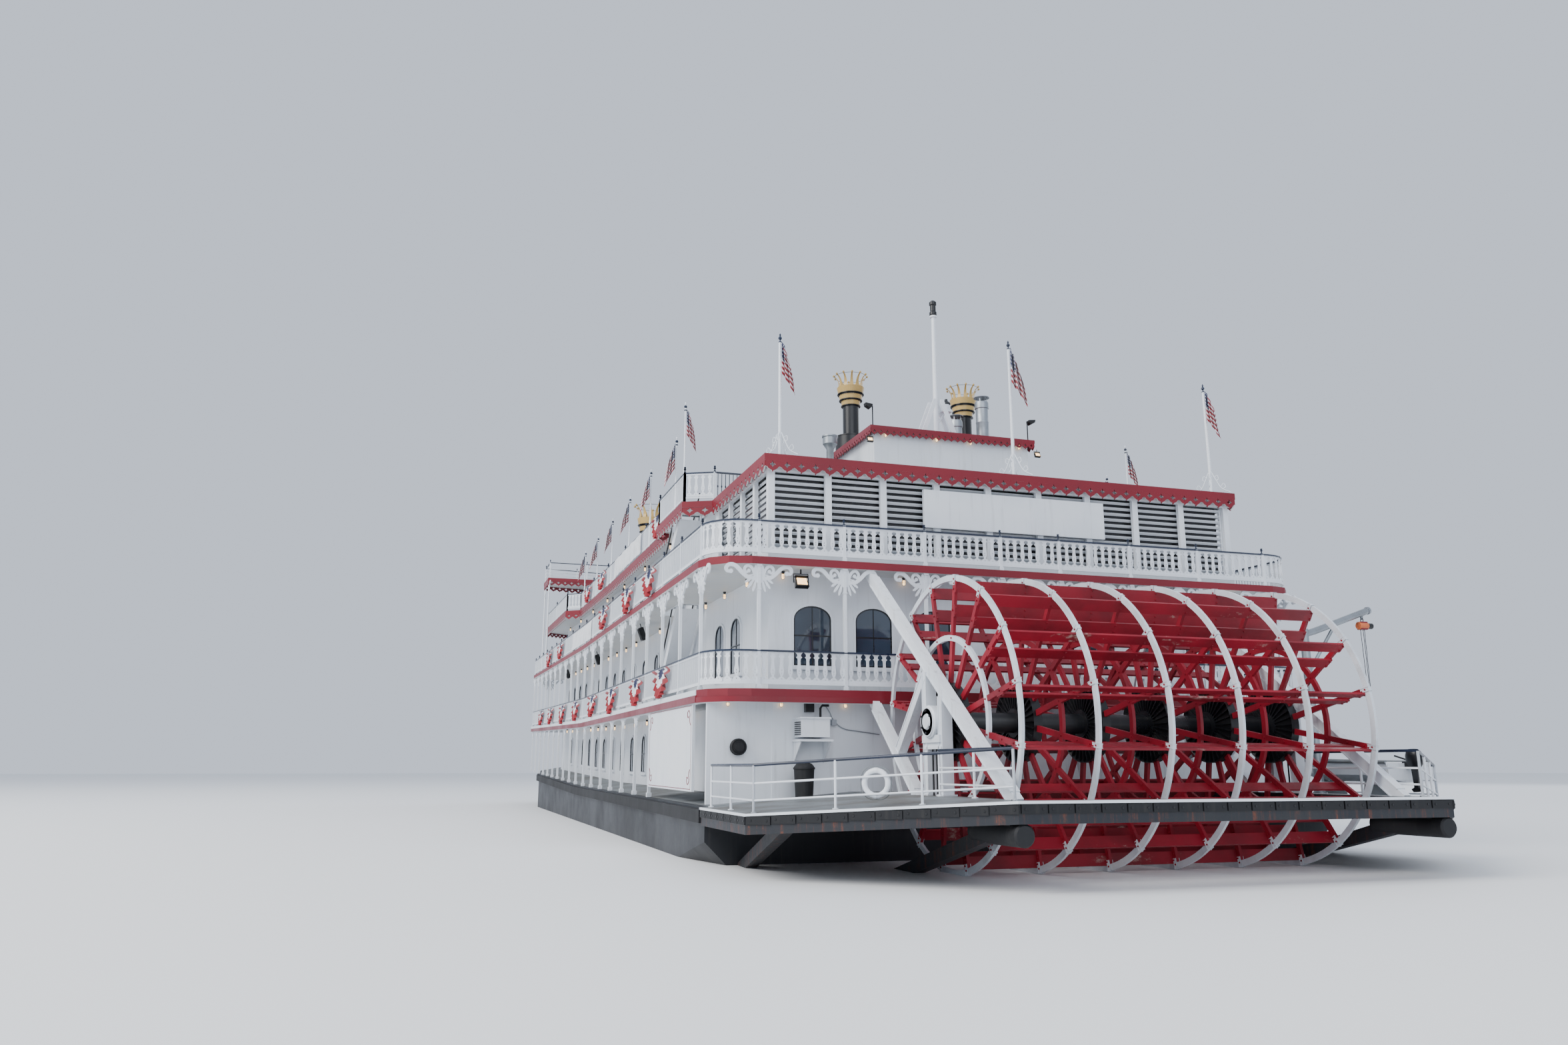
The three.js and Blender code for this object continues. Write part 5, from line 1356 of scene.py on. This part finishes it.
def flight(floor, rise):
    s = stairs
    foot, top, (y0, y1) = s["foot"], s["top"], s["y"]
    head, under = floor + rise, floor + rise - s["deep"] - 0.04
    outline = [(foot, floor), (foot - 0.3, floor), (top, under), (top, head), (top + 0.12, head), (foot, floor + 0.12)]
    string = plate(outline, 0, s["string"])
    below = [(foot - 0.32, floor), (foot - 0.28, floor), (top + 0.02, under + 0.02), (top, under)]
    parts = [string.moved(y=y0), string.moved(y=y1 - s["string"]), plate(below, y0 + 0.02, y1 - 0.02)]
    going, riser = (foot - top) / s["steps"], rise / s["steps"]
    for i in range(s["steps"]):
        x, z = foot - (i + 0.5) * going, floor + (i + 0.5) * riser
        parts.append(block(x - going * 0.55, x + going * 0.55, y0 + 0.01, y1 - 0.01, z - s["tread"], z, 2))
    low, high = floor + s["rail"], head + s["rail"] - 0.25 * rise / (foot - top)
    for y in (y0 + 0.03, y1 - 0.03):
        line = [(foot - 0.15, y, low), (top + 0.2, y, high)]
        parts.append(tube(line, 0.028, 8, up=(0, 1, 0), finish=1))
        for t in (0.0, 0.33, 0.66):
            x, y, z = (a + (b - a) * t for a, b in zip(*line))
            parts.append(tube([(x, y, z - s["rail"] + 0.02), (x, y, z)], 0.018, 6))
    return joined(parts)


for deck, above in (("deck2", "deck3"), ("deck3", "roof")):
    for side, word in hands:
        node = f"deck_{deck[4]}_stair_{word.lower()}"
        form = flight(boat[deck] + 0.001, boat[above] - boat[deck] - 0.001).scaled(y=side)
        makePiece(f"{deck}Stair{word}", form, "whiteTrim black deckGrey", "navy_paint", [node])
print("windows and stairs made")


# Stern platform round the wheel's well, with the struts under it, its two bumpers and the davit's plinth
platform = {
    "deep": 0.45,
    "well": 5.0,
    "wellAft": -4.02,
    "fore": 3.8994,
    "aft": -4.76,
    "halfAft": 5.646,
    "wing": -0.474,
    "out": 10.155,
    "struts": (((-4.4, 5.5, -2.22), (3.8994, 5.5, -4.3)), ((-0.6, 9.2, -2.37), (3.8994, 9.0, -3.7))),
    "bumper": [(0, -1.075), (0.2, -1.075), (0.24, -1.03), (0.24, 1.03), (0.2, 1.075), (0, 1.075)],
    "plinth": [(0.22, -2.07), (0.22, -1.845), (0.205, -1.83), (0, -1.83)],
}
davitAt = (1.2, -7.4)


def cambered(across, aft, fore):
    rows = []
    for y in across:
        top = mainDeckAt(y)
        low = top - platform["deep"]
        rows += [(aft(y), y, top), (fore, y, top), (fore, y, low), (aft(y), y, low)]
    last = 4 * len(across) - 4
    return Bit(rows, loft(len(across), 4) + [(3, 2, 1, 0), tuple(last + k for k in range(4))])


def sternDeck():
    p = platform

    def edge(y):
        return p["aft"] + (p["wing"] - p["aft"]) * max(0, (y - p["halfAft"]) / (p["out"] - p["halfAft"]))

    middle = cambered([-p["well"] + p["well"] * i / 5 for i in range(11)], edge, p["wellAft"])
    wing = cambered([p["well"], p["halfAft"], 6.5, 7.4, 8.3, 9.2, p["out"]], edge, p["fore"])
    struts = [swept(path, strip(0.3, 0.3)) for path in p["struts"]]
    bumper = turnedForm(p["bumper"], 20, 1).turned(90, "Y").moved(-3.675, 5.5, -2.45)
    return joined(middle, bothSides(wing, struts, bumper), turnedForm(p["plinth"]).moved(*davitAt))


makePiece("sternDeck", sternDeck(), "platform rubber", "platform_grey", ["stern_platform"], sheered=False)

# Along the platform's edge: a white lip, tiles of fender and a lower plate, and pipe rails above
edging = {
    "corners": ((3.85, 10.215, 0, 1), (-0.5, 10.215, -0.43, 1), (-4.82, 5.67, -1, 0.4)),
    "tile": 0.62,
    "band": (0.05, 0.25),
    "bands": ((0.03, -0.012, 0.045, 0.06, 0), (0.055, 0.05, 0.25, 0.03, 2), (0.06, 0.25, 0.45, 0.025, 3)),
    "rail": [(3.6, 9.955), (-0.4, 9.955), (-4.2, 5.4), (-0.6, 5.4)],
    "rows": (0.28, 0.66),
    "postPitch": 2.1,
}


def edgeLine(inset, step):
    corners = insetLine(edging["corners"], -inset)
    points = []
    for a, b in zip(corners, corners[1:]):
        points += divided(a, b, max(1, round(math.dist(a, b) / step)))[:-1]
    return points + [corners[-1]]


def platformEdge():
    parts = []
    for inset, high, low, thick, finish in edging["bands"]:
        path = [(x, y, mainDeckAt(y) - (high + low) / 2) for x, y in edgeLine(inset, 0.6)]
        parts.append(swept(path, strip(thick, low - high), finish=finish))
    half, (high, low) = edging["tile"] * 0.47, edging["band"]
    bolt = disc([(0.026, -0.045), (0.026, 0.045)], 6, 2).moved(z=-(high + low) / 2)
    tile = joined(block(-half, half, -0.035, 0.035, -low + 0.012, -high - 0.012, 1), bolt.moved(-0.2), bolt.moved(0.2))
    spots = stations(edgeLine(0.048, 0.31), edging["tile"])
    return joined(parts, repeated(tile, [(x, y, mainDeckAt(y), t) for x, y, t in spots]))


edgeKinds = "whiteTrim rubber black platform"
makePiece("platformEdge", platformEdge(), edgeKinds, "platform_grey", sheered=False)


def platformRail():
    line = [(x, y, mainDeckAt(y)) for x, y in edging["rail"]]
    parts = []
    for row, radius, finish in (*((row, 0.024, 0) for row in edging["rows"]), (1.07, 0.034, 1)):
        parts.append(tube([(x, y, z + row) for x, y, z in line], radius, 8, up=(0, 0, 1), finish=finish))
    foot = turnedForm([(0.075, 0.001), (0.075, 0.02), (0.034, 0.03)], 10)
    for a, b in zip(line, line[1:]):
        for spot in divided(a, b, max(1, round(math.dist(a, b) / edging["postPitch"]))):
            parts.append(joined(tube([(0, 0, 0.001), (0, 0, 1.06)], 0.032, 8), foot).moved(*spot))
    return joined(parts)


for side, word in hands:
    rail, node = platformRail().scaled(y=side), f"platform_rail_{word.lower()}"
    makePiece(f"platformRail{word}", rail, "whiteTrim navy", "white_paint", [node], sheered=False)

# Wheel carriers: edge strips on the beams, the bearing's block and cap, and rods down to the shelf
carrier = {
    "y": 5.17,
    "beams": (
        ((3.86, 4.142), (-3.72, -1.706), 0.27),
        ((3.86, 0.563), (1.2, -1.716), 0.24),
        ((0.45, 1.156), (2.2, -0.644), 0.24),
    ),
    "posts": ((-0.5, -1.768, 0.6), (0.37, -1.768, 1.25)),
    "cap": [(0.4, -0.17), (0.4, 0.2), (0.33, 0.25), (0.2, 0.25), (0.17, 0.29), (0.0, 0.3)],
    "rods": (-0.28, -0.1, 0.12),
}


def carrierTrim():
    c = carrier
    parts = []
    for (x0, z0), (x1, z1), deep in c["beams"]:
        d = math.hypot(x1 - x0, z1 - z0)
        nx, nz = -(z1 - z0) / d, (x1 - x0) / d
        edge = swept([(x0, 0, z0), (x1, 0, z1)], strip(0.24, 0.03), up=(nx, 0, nz))
        parts += [edge.moved(nx * k * deep / 2, 0, nz * k * deep / 2) for k in (1, -1)]
    for x, z0, z1 in c["posts"]:
        parts += [block(u - 0.015, u + 0.015, -0.14, 0.14, z0, z1) for u in (x + 0.11, x - 0.11)]
        parts.append(post(x, 0, 0.19, z0, z0 + 0.038))
    parts += [block(-0.56, 0.46, y - 0.02, y + 0.02, -0.66, -0.6) for y in (0.12, -0.12)]
    cap = turnedForm(c["cap"], 28).turned(-90, "X")
    foot = block(-0.5, 0.5, -0.16, 0.16, -0.5, -0.32)
    stud = disc([(0.03, 0), (0.03, 0.05)], 6, 1)
    studs = [stud.moved(x, 0.3, z) for x, z in arcPoints(0, 0, 0.27, 30, 330, 5)]
    rods = [tube([(x, 0.05, -0.62), (x, 0.05, -1.765)], 0.022, 6, finish=1) for x in c["rods"]]
    return joined(parts, cap, foot, studs, rods).moved(y=c["y"])


for side, word in hands:
    trim = carrierTrim().scaled(y=side)
    makePiece(f"carrierTrim{word}", trim, "whiteRusty black", "white_paint", sheered=False)
print("platform and carriers dressed")


# Aft bulkheads beside the main house, and painted strips along the edge of deck 2
aftBulkhead = block(4.62, 4.74, 7.99, 9.86, -2.08, under2 - 0.002)
makePiece("aftBulkheads", bothSides(aftBulkhead), "white", "white_paint")


# Height, thickness and depth of each strip.
kick = {"white": (0.935, 0.03, 0.15), "red": (0.757, 0.03, 0.2), "stern": (0.722, 0.02, 0.15)}


def kickStrips():
    def laid(line, which, finish=1):
        z, thick, deep = kick[which]
        return swept(inPlane(line, "xy", z), strip(thick, deep), finish=finish)

    line, n = railLine(-0.012), railing["turn"] + 1
    sides = ((line[2 * n - 1], line[2 * n]), (line[-1], line[0]))
    strips = [bit for side in sides for bit in (laid(side, "white", 0), laid(side, "red"))]
    return joined(strips, laid(railLine(-0.004)[2 * n :], "stern"))


makePiece("kickStrips", kickStrips(), "whiteTrim crimson", "white_paint")

# Jar lamps in wire guards, hung under the decks near the walls
jarLampForm = {
    "base": [(0, -0.085), (0.038, -0.085), (0.038, -0.06), (0.05, -0.035), (0.05, 0), (0, 0)],
    "jar": [(0.0, -0.235), (0.025, -0.23), (0.038, -0.205), (0.042, -0.13), (0.036, -0.08), (0.0, -0.08)],
    "guard": [(0.044, -0.08), (0.05, -0.14), (0.044, -0.22), (0.01, -0.25)],
    "hoop": (0.052, -0.15),
    "wire": 0.004,
}


def jarLamp():
    f = jarLampForm
    wire = tube(inPlane(f["guard"]), f["wire"], 4, up=(0, 1, 0))
    guard = [wire.turned(90 * k) for k in range(4)]
    radius, z = f["hoop"]
    ring = hoop(radius, f["wire"], 12, 4).moved(z=z)
    return joined(turnedForm(f["base"], 12), turnedForm(f["jar"], 12, 1), guard, ring)


lampSpots = [(4.5, y, under2) for y in (9.3, 7.76, 5.85)] + [(4.86, y, under3) for y in (7.6, 3.8)]
lampSpots += [(17.2 + 2.79 * k, 8.2, under3) for k in range(14)] + [(x, 8.2, under3) for x in (6.6, 9.3, 11.9)]
lampSpots += [(13.7 + 2.9 * k, 8.2, under2) for k in range(14)]
lampSpots += [(18.0 + 5.58 * k, 8.25, underRoof) for k in range(7)]
lampSpots += [(8.84, y, 10.341) for y in (0.66, 2.6)]
lamps = [jarLamp().moved(x, s * y, z - 0.001) for x, y, z in lampSpots for s in (1, -1)]
makePiece("jarLamps", joined(lamps), "black lamp", "black_paint")


# Floodlights on brackets, small speakers and the lamps on stalks
def floodlight():
    head = joined(
        plate([(-0.2, -0.16), (0.2, -0.16), (0.16, 0.16), (-0.16, 0.16)], -0.09, 0.05),
        block(-0.15, 0.15, -0.1, -0.085, -0.11, 0.11, 1),
        block(-0.2, 0.2, -0.14, -0.05, 0.14, 0.17),
    )
    yoke = tube([(-0.22, 0, 0), (-0.22, 0.03, 0.26), (0.22, 0.03, 0.26), (0.22, 0, 0)], 0.018, 5, up=(0, 1, 0))
    return joined(head.turned(-25, "X"), yoke, tube([(0, 0.03, 0.26), (0, 0.03, 0.4)], 0.025, 6))


def speaker():
    case = block(-0.17, 0.17, -0.1, 0.1, -0.26, 0.26)
    grille = block(-0.14, 0.14, -0.112, -0.1, -0.22, 0.22, 2)
    return joined(case, grille, tube([(0, 0.05, 0.26), (0, 0.05, 0.42)], 0.02, 6))


hoodForm = [(0.13, 0.13), (-0.13, 0.1), (-0.13, 0.02), (-0.05, -0.06), (0.11, 0.03)]
stalkHood = plate(hoodForm, -0.11, 0.11, "yz", finish=2)
stalkLamp = joined(tube([(0, 0, 0), (0, 0, 0.72)], 0.022, 8, finish=2), stalkHood.moved(0, 0.16, 0.66))
smallLight = floodlight().scaled(0.55, 0.55, 0.55)
lightBits = []
for s in (1, -1):
    sideSpeaker = speaker().turned(90 + 90 * s).turned(-20 * s, "X")
    lightBits += [
        floodlight().turned(-90).moved(4.4, s * 7.2, under3 - 0.4),
        *[sideSpeaker.moved(x, s * 9.25, under3 - 0.46) for x in (18.3, 30.4, 43.2)],
        speaker().scaled(0.75, 0.8, 0.55).turned(-90).moved(4.48, s * 6.95, under2 - 0.235),
        smallLight.turned(-90).moved(8.72, s * 3.25, 9.9),
        smallLight.turned(90).moved(16.45, s * 3.25, 9.9),
        stalkLamp.scaled(y=s).moved(8.95, s * 3.04, boat["houseTop"]),
    ]
makePiece("floodlightsAndSpeakers", joined(lightBits), "black lamp rubber", "black_paint")

# Bunting fans tied under the rails: half rounds of cloth gathered in pleats
fan = {"radius": 1.2, "wide": 1.175, "drop": 0.98, "pleats": 10, "deep": 0.09, "rings": 12, "turns": 120, "lean": 0.12}


def buntingFan(name, x, y, top, side, seed, rests):
    f = fan
    rings, turns = f["rings"], f["turns"]
    lean = random.Random(seed).uniform(-f["lean"], f["lean"])
    rows, uvs = [], []
    for j in range(rings + 1):
        r = j / rings
        for i in range(turns + min(j, 1)):
            a = math.pi * i / turns
            pleat = math.sin(2 * a * f["pleats"] + seed) * f["deep"] * r
            tied = 1 - 0.4 * math.sin(a) * r
            u = math.cos(a) * r * f["wide"] * tied + lean * r * math.sin(a)
            v = -math.sin(a) * r * f["drop"] * (1 - 0.06 * math.cos(3 * a + seed))
            out = 0.09 + abs(pleat) * 0.2 + pleat * 0.9 + 0.08 * math.sin(a) * r
            rows.append((x + u, y + side * out, top + v - 0.12))
            uvs.append((i / turns, r))
    faces = [(i, turns + i, turns + i + 1) for i in range(turns)]
    for a, b, c, d in gridFaces(turns, rings - 1):
        faces.append(tuple(turns + k for k in (a, d, c, b)))
    radius = f["radius"]
    area = math.pi * (radius * boat["scale"]) ** 2 / 2
    hungCloth(name, "bunting", rows, faces, (2 * radius, radius), rests, uvs, area=area)


buntingRows = (
    ("Deck2", "deck2Railing", boat["deck2"], 9.99, 0, (9.97, 14.56, 20.22, 25.84, 31.83, 37.7, 44.0, 49.9)),
    ("Deck3", "deck3Railing", boat["deck3"], 9.99, 40, (12.49, 17.0, 23.2, 40.0, 46.35)),
    ("Roof", "roofRailing", boat["roof"], 8.69, 80, (17.9, 33.3, 38.8)),
)
for deck, rests, floor, y, seed, places in buntingRows:
    for i, x in enumerate(places):
        for side, word in hands:
            top = floor + railing["cap"]
            buntingFan(f"bunting{deck}{word}{i + 1}", x, side * y, top, side, seed + i * 2 + side, rests)
print("lamps and bunting made")

# Blank cloth banners laced to the outside of the rails, one on each side of deck 3 and of the roof
banner = {"long": 7.4, "high": 0.88, "across": 60, "down": 8, "tie": 1.0}


def railBanner(name, aft, y, floor, side, rests):
    b = banner
    rows = []
    for j in range(b["down"] + 1):
        t = j / b["down"]
        for i in range(b["across"] + 1):
            s = i / b["across"]
            wave = 0.012 * math.sin(23 * s + 3 * t) + 0.01 * t * math.sin(57 * s + side)
            sag = 0.02 * abs(math.sin(math.pi * 6 * s)) * (1 - t)
            rows.append((aft + b["long"] * s, side * (y + wave), floor + b["tie"] - sag - b["high"] * t))
    hungCloth(name, "banner", rows, gridFaces(b["across"], b["down"]), (b["long"], b["high"]), rests)


for side, word in hands:
    railBanner(f"bannerDeck3{word}", 27.8, 9.985, boat["deck3"], side, "deck3Railing")
    railBanner(f"bannerRoof{word}", 22.1, 8.73, boat["roof"], side, "roofRailing")


# Blank boards: a thin painted border with curled corners on the ones at the sides
signEdge = {
    "board": (5.85, 12.05, -1.72, 0.62),
    "line": 0.02,
    "y": (10.014, 10.019),
    "curl": [(0.08, 0.55), (0.2, 0.42), (0.16, 0.25), (0.3, 0.14), (0.46, 0.2), (0.42, 0.34), (0.3, 0.3)],
}


def signBorder():
    x0, x1, z0, z1 = signEdge["board"]
    parts = [block(a, b, *signEdge["y"], c, d) for a, b, c, d in border(x0, x1, z0, z1, signEdge["line"])]
    curl = curve(signEdge["curl"], 4)
    for x, kx in ((x0, 1), (x1, -1)):
        for z, kz in ((z0, 1), (z1, -1)):
            path = [(x + kx * u, 10.017, z + kz * v) for u, v in curl]
            parts.append(tube(path, 0.013, 5, up=(0, 1, 0)))
    return bothSides(parts)


makePiece("signBorders", signBorder(), "crimson", "crimson_paint")

# Cabinet with its louvred side on the aft wall, its conduit, cable and junction boxes, a hose reel and a bin.
# X is measured from the wall.
wallGear = {
    "wall": 4.6,
    "blocks": (
        (-0.62, -0.001, 6.52, 7.34, -0.28, 0.22, 0),
        (-0.66, 0, 6.48, 7.38, 0.22, 0.26, 0),
        (-0.7, -0.001, 6.44, 7.42, -0.4, -0.34, 0),
        (-0.12, -0.001, 6.13, 6.27, 0.06, 0.22, 2),
        (-0.16, -0.001, 6.94, 7.2, -1.3, -0.98, 1),
    ),
    "slats": 7,
    "conduit": [(-0.3, 6.68, 0.26), (-0.3, 6.68, 0.52), (-0.3, 6.62, 0.6), (-0.3, 6.43, 0.6)],
    "cable": [(6.43, 0.6), (6.3, 0.42), (6.2, 0.22), (5.9, -0.02), (5.4, -0.1), (4.8, -0.18)],
    "reel": (-0.12, 9.0, -0.55),
    "bin": [(0.24, 0.0), (0.28, 0.75), (0.3, 0.76), (0.3, 0.8), (0.22, 0.9), (0.1, 0.95), (0, 0.96)],
}


def aftWallGear():
    g = wallGear
    blocks = [block(*form) for form in g["blocks"]]
    rows = [-0.22 + 0.055 * k for k in range(g["slats"])]
    slats = [block(-0.56, -0.06, 7.34, 7.365, z, z + 0.025, 1) for z in rows]
    legs = [plate([(0, -0.4), (-0.66, -0.4), (0, -0.98)], y - 0.015, y + 0.015) for y in (6.5, 7.36)]
    conduit = tube(g["conduit"], 0.035, 8, up=(1, 0, 0), finish=1)
    cable = tube(inPlane(curve(g["cable"]), "yz", -0.03), 0.014, 6, up=(1, 0, 0), finish=2)
    drum = disc([(0.13, -0.11), (0.13, 0.11)], 16, 1).turned(90)
    coil = [hoop(r, 0.03, 20, 6, "yz", 1).moved(d) for d in (-0.06, 0.0, 0.06) for r in (0.15, 0.2)]
    reel = joined(drum, coil).moved(*g["reel"])
    return joined(blocks, slats, legs, conduit, cable, reel, turnedForm(g["bin"], 20, 1).moved(-0.7, 7.3, -1.905))


gear = aftWallGear().moved(wallGear["wall"])
makePiece("aftWallGear", gear, "white rubber zinc", "white_paint", sheered=False)

lifeRingForm = {"radius": 0.27, "thick": 0.062, "band": 0.066, "line": 0.345, "slack": 0.035, "cord": 0.011}


# Life ring with its grab line on the port rail
def lifeRing():
    f = lifeRingForm
    band = tube(inPlane(arcPoints(0, 0, f["radius"], -9, 9, 4), "yz"), f["band"], 12, up=(1, 0, 0), finish=1)
    bands = [band.turned(90 * k, "X") for k in range(4)]
    turns = [2 * math.pi * i / 48 for i in range(48)]
    line = [(math.cos(a) * r, math.sin(a) * r) for a in turns for r in [f["line"] + f["slack"] * abs(math.sin(2 * a))]]
    cord = tube(inPlane(line, "yz"), f["cord"], 5, closed=True, up=(1, 0, 0), finish=2)
    return joined(hoop(f["radius"], f["thick"], 32, 12, "yz"), bands, cord)


ring = lifeRing().turned(-40).moved(-2.2, 7.68, -1.43)
makePiece("lifeRing", ring, "white whiteRusty deckGrey", "white_paint", sheered=False)

# Davit: tube column and arm with its stay, then the hoist on its trolley, its falls and the hook.
# All is measured from the column's middle; the hoist hangs at the reach.
davitForm = {
    "reach": -2.2,
    "column": [
        *((0.2, -1.828), (0.2, -1.79), (0.135, -1.77), (0.13, 0.2), (0.145, 0.22)),
        *((0.145, 0.34), (0.13, 0.36), (0.12, 2.9), (0.0, 2.92)),
    ],
    "arm": [(0.25, 2.68), (-0.4, 2.86), (-2.45, 3.55)],
    "armCap": [(0.0, -0.02), (0.115, -0.02), (0.115, 0.05), (0.07, 0.09), (0, 0.1)],
    "stay": [(-0.1, 1.7), (-1.2, 3.12)],
    "lug": [(-0.05, 0), (0.05, 0), (0.03, -0.16), (-0.03, -0.16)],
    "hoist": [(0.0, -0.16), (0.11, -0.16), (0.12, -0.14), (0.12, 0.14), (0.11, 0.16), (0, 0.16)],
    "motor": [(0.0, -0.1), (0.09, -0.1), (0.09, 0.1), (0, 0.1)],
    "falls": ((0.05, 0.04), (-0.05, 0.04), (0.0, -0.06)),
    "block": [(0, -0.09), (0.07, -0.08), (0.08, 0), (0.07, 0.08), (0, 0.09)],
}


def davit():
    f = davitForm
    arm = tube(inPlane(f["arm"], "yz"), 0.1, 16, up=(1, 0, 0))
    cap = turnedForm(f["armCap"], 16).turned(75, "X").moved(0, -2.44, 3.547)
    stay = tube(inPlane(f["stay"], "yz"), 0.05, 10, up=(1, 0, 0))
    shackle = inPlane([(u, 1.2 * v) for u, v in circle(0.05, 12)])
    hook = inPlane([(0.07 * u, 0.075 * v) for u, v in arcPoints(0, 0, 1, 100, -170, 11)])
    hung = [
        plate(f["lug"], -0.02, 0.02, "yz").moved(z=3.42),
        tube(shackle, 0.012, 6, closed=True, up=(0, 1, 0), finish=1).moved(z=3.25),
        disc(f["hoist"], 18, 3).moved(z=3.08),
        block(-0.09, 0.09, -0.12, 0.12, 2.96, 3.2, 2),
        disc(f["motor"], 14, 1).moved(0, -0.24, 3.08),
        turnedForm(f["block"], 12, 3).moved(z=0.36),
        tube([(0, 0, 0.3), (0, 0, 0.2)], 0.016, 6, finish=1),
        tube(hook, 0.016, 6, up=(0, 1, 0), finish=1).moved(z=0.14),
    ]
    hung += [tube([(u, v, 2.98), (u * 0.6, v * 0.6, 0.42)], 0.009, 5, finish=1) for u, v in f["falls"]]
    return joined(turnedForm(f["column"], 20), arm, cap, stay, joined(hung).moved(y=f["reach"]))


davitGear, davitKinds = davit().moved(*davitAt), "zinc black crimson orange"
makePiece("davitGear", davitGear, davitKinds, "white_paint", ["davit"], body="davit", sheered=False)

# Rescue boat on its chocks, with the outboard motor
dinghy = {
    "aft": -0.7,
    "fore": 3.4,
    "y": -8.7,
    "frames": 15,
    "half": 0.75,
    "seats": (0.3, 1.5),
    "chocks": (0.3, 2.2),
    "cowl": [(0.0, -0.02), (0.15, 0.0), (0.19, 0.08), (0.2, 0.3), (0.17, 0.42), (0.1, 0.48), (0, 0.49)],
    "leg": [
        *((-0.12, 0), (0.1, 0), (0.06, -0.55), (0.16, -0.6)),
        *((0.1, -0.68), (-0.14, -0.66), (-0.16, -0.6), (-0.08, -0.55)),
    ],
    "chock": [(-0.62, -2.06), (0.62, -2.06), (0.5, -1.5), (0.3, -1.42), (0, -1.5), (-0.3, -1.42), (-0.5, -1.5)],
}


# The hull's shell, and the line of its gunwale.
def dinghyHull():
    d = dinghy
    rows, gunwale = [], []
    for i in range(d["frames"]):
        t = i / (d["frames"] - 1)
        x = d["aft"] + (d["fore"] - d["aft"]) * t
        b = d["half"] * (1 - max(0, (t - 0.45) / 0.55) ** 2.2 * 0.97)
        keel = -1.5 + 0.32 * max(0, (t - 0.6) / 0.4) ** 2
        rail = -0.95 + 0.1 * t * t
        ring = [(0, keel), (0.55 * b, keel + 0.05), (0.88 * b, keel + 0.2), (b, rail), (b - 0.05, rail)]
        ring += [(0.84 * b - 0.03, keel + 0.24), (0.5 * b, keel + 0.11), (0, keel + 0.07)]
        rows.append(inPlane(ring + [(-u, z) for u, z in ring[-2:0:-1]], "yz", x))
        gunwale.append((x, b, rail))
    n = len(rows[0])
    right, left = tuple(range(n // 2 + 1)), (0, *range(n - 1, n // 2 - 1, -1))
    last = (len(rows) - 1) * n
    ends = [loop[::-1] for loop in (right, left)] + [tuple(last + k for k in loop) for loop in (right, left)]
    return Bit([p for row in rows for p in row], loft(len(rows), n) + ends), gunwale


def rescueBoat():
    d = dinghy
    hull, gunwale = dinghyHull()
    strake = tube(gunwale, 0.045, 8, up=(0, 0, 1), finish=1)
    parts = [hull, block(d["aft"] - 0.02, d["aft"] + 0.05, -0.7, 0.7, -1.44, -0.98), bothSides(strake)]
    parts += [block(x, x + 0.3, -0.62, 0.62, -1.2, -1.15) for x in d["seats"]]
    motor = joined(turnedForm(d["cowl"], 20).scaled(1.25, 0.85, 1), plate(d["leg"], -0.05, 0.05))
    parts.append(motor.painted(2).moved(-0.95, 0, -1.08))
    parts.append(block(-0.86, -0.64, -0.12, 0.12, -1.12, -0.94, 2))
    parts.append(tube([(-0.8, 0, -0.92), (-0.3, 0, -0.78)], 0.025, 8, finish=2))
    parts += [plate(d["chock"], x - 0.06, x + 0.06, "yz", finish=1) for x in d["chocks"]]
    return joined(parts).moved(y=d["y"])


boatKinds = "white deckGrey black"
makePiece("rescueBoatGear", rescueBoat(), boatKinds, "white_paint", ["rescue_boat"], sheered=False)

# Bridge: sawn red edge, the posts under its wings with their brackets, and the pilothouse's trimmed roof
bridgeEdge = toothRun(insetLine(bridge["corners"], 0.03), bridge["top"] - 0.03, tooth["pitch"], 0.5, 0.04)
makePiece("bridgeFascia", bridgeEdge, "crimson", "crimson_paint")
wingPost = tube([(0, 0, boat["deck3"] + 0.002), (0, 0, bridge["top"] - 0.24)], 0.05, 10)
wingPost = joined(wingPost, bracket(0.9).moved(z=bridge["top"] - boat["thick"] - 0.01))
wingPosts = bothSides([wingPost.moved(x, 9.95) for x in (50.2, 52.75)])
makePiece("wingPosts", wingPosts, "whiteTrim", "white_paint")

domeForm = [(1.0, 0.1), (1.0, 0.2), (0.86, 0.36), (0.6, 0.62), (0.3, 0.86), (0.2, 1.0), (0.1, 1.04)]
domeForm += [(0.06, 1.2), (0.12, 1.28), (0.06, 1.36), (0, 1.4)]
dome = turnedForm(domeForm, 28).moved(53.2, 0, 13.4)
pilothouseRoof = joined(toothedSlab(50.3, 56.1, 3.2, 13.402, 13.55, 13.5, 0.3), dome)
makePiece("pilothouseRoofTrim", pilothouseRoof, "crimson", "crimson_paint", ["pilothouse_roof"])

# Deck paint on top of the hull, set in from its edge
mainDeck = {
    "plan": ((3.95, 10.055), (14, 10.055), (30, 10.055), (50, 10.055), (57, 9.3), (61.2, 7.4), (63.4, 5.54)),
    "inset": 0.16,
    "thick": 0.012,
}


def mainDeckPaint():
    d = mainDeck
    rows = []
    for x, breadth in d["plan"]:
        side, knuckle = breadth - d["inset"], min(boat["camberFrom"], 0.7 * breadth)
        across = [(y, mainDeckAt(y) + d["thick"] / 2) for y in (-side, -knuckle, knuckle, side)]
        rows += inPlane(across + [(y, z - d["thick"]) for y, z in across[::-1]], "yz", x)
    last = len(rows) - 8
    ends = [(k + s, k + s + 1, s + 6 - k, s + 7 - k) for s in (0, last) for k in range(3)]
    return Bit(rows, loft(len(d["plan"]), 8) + ends)


makePiece("mainDeckPaint", mainDeckPaint(), "deckGrey", "navy_paint")
print("gear and bridge made")
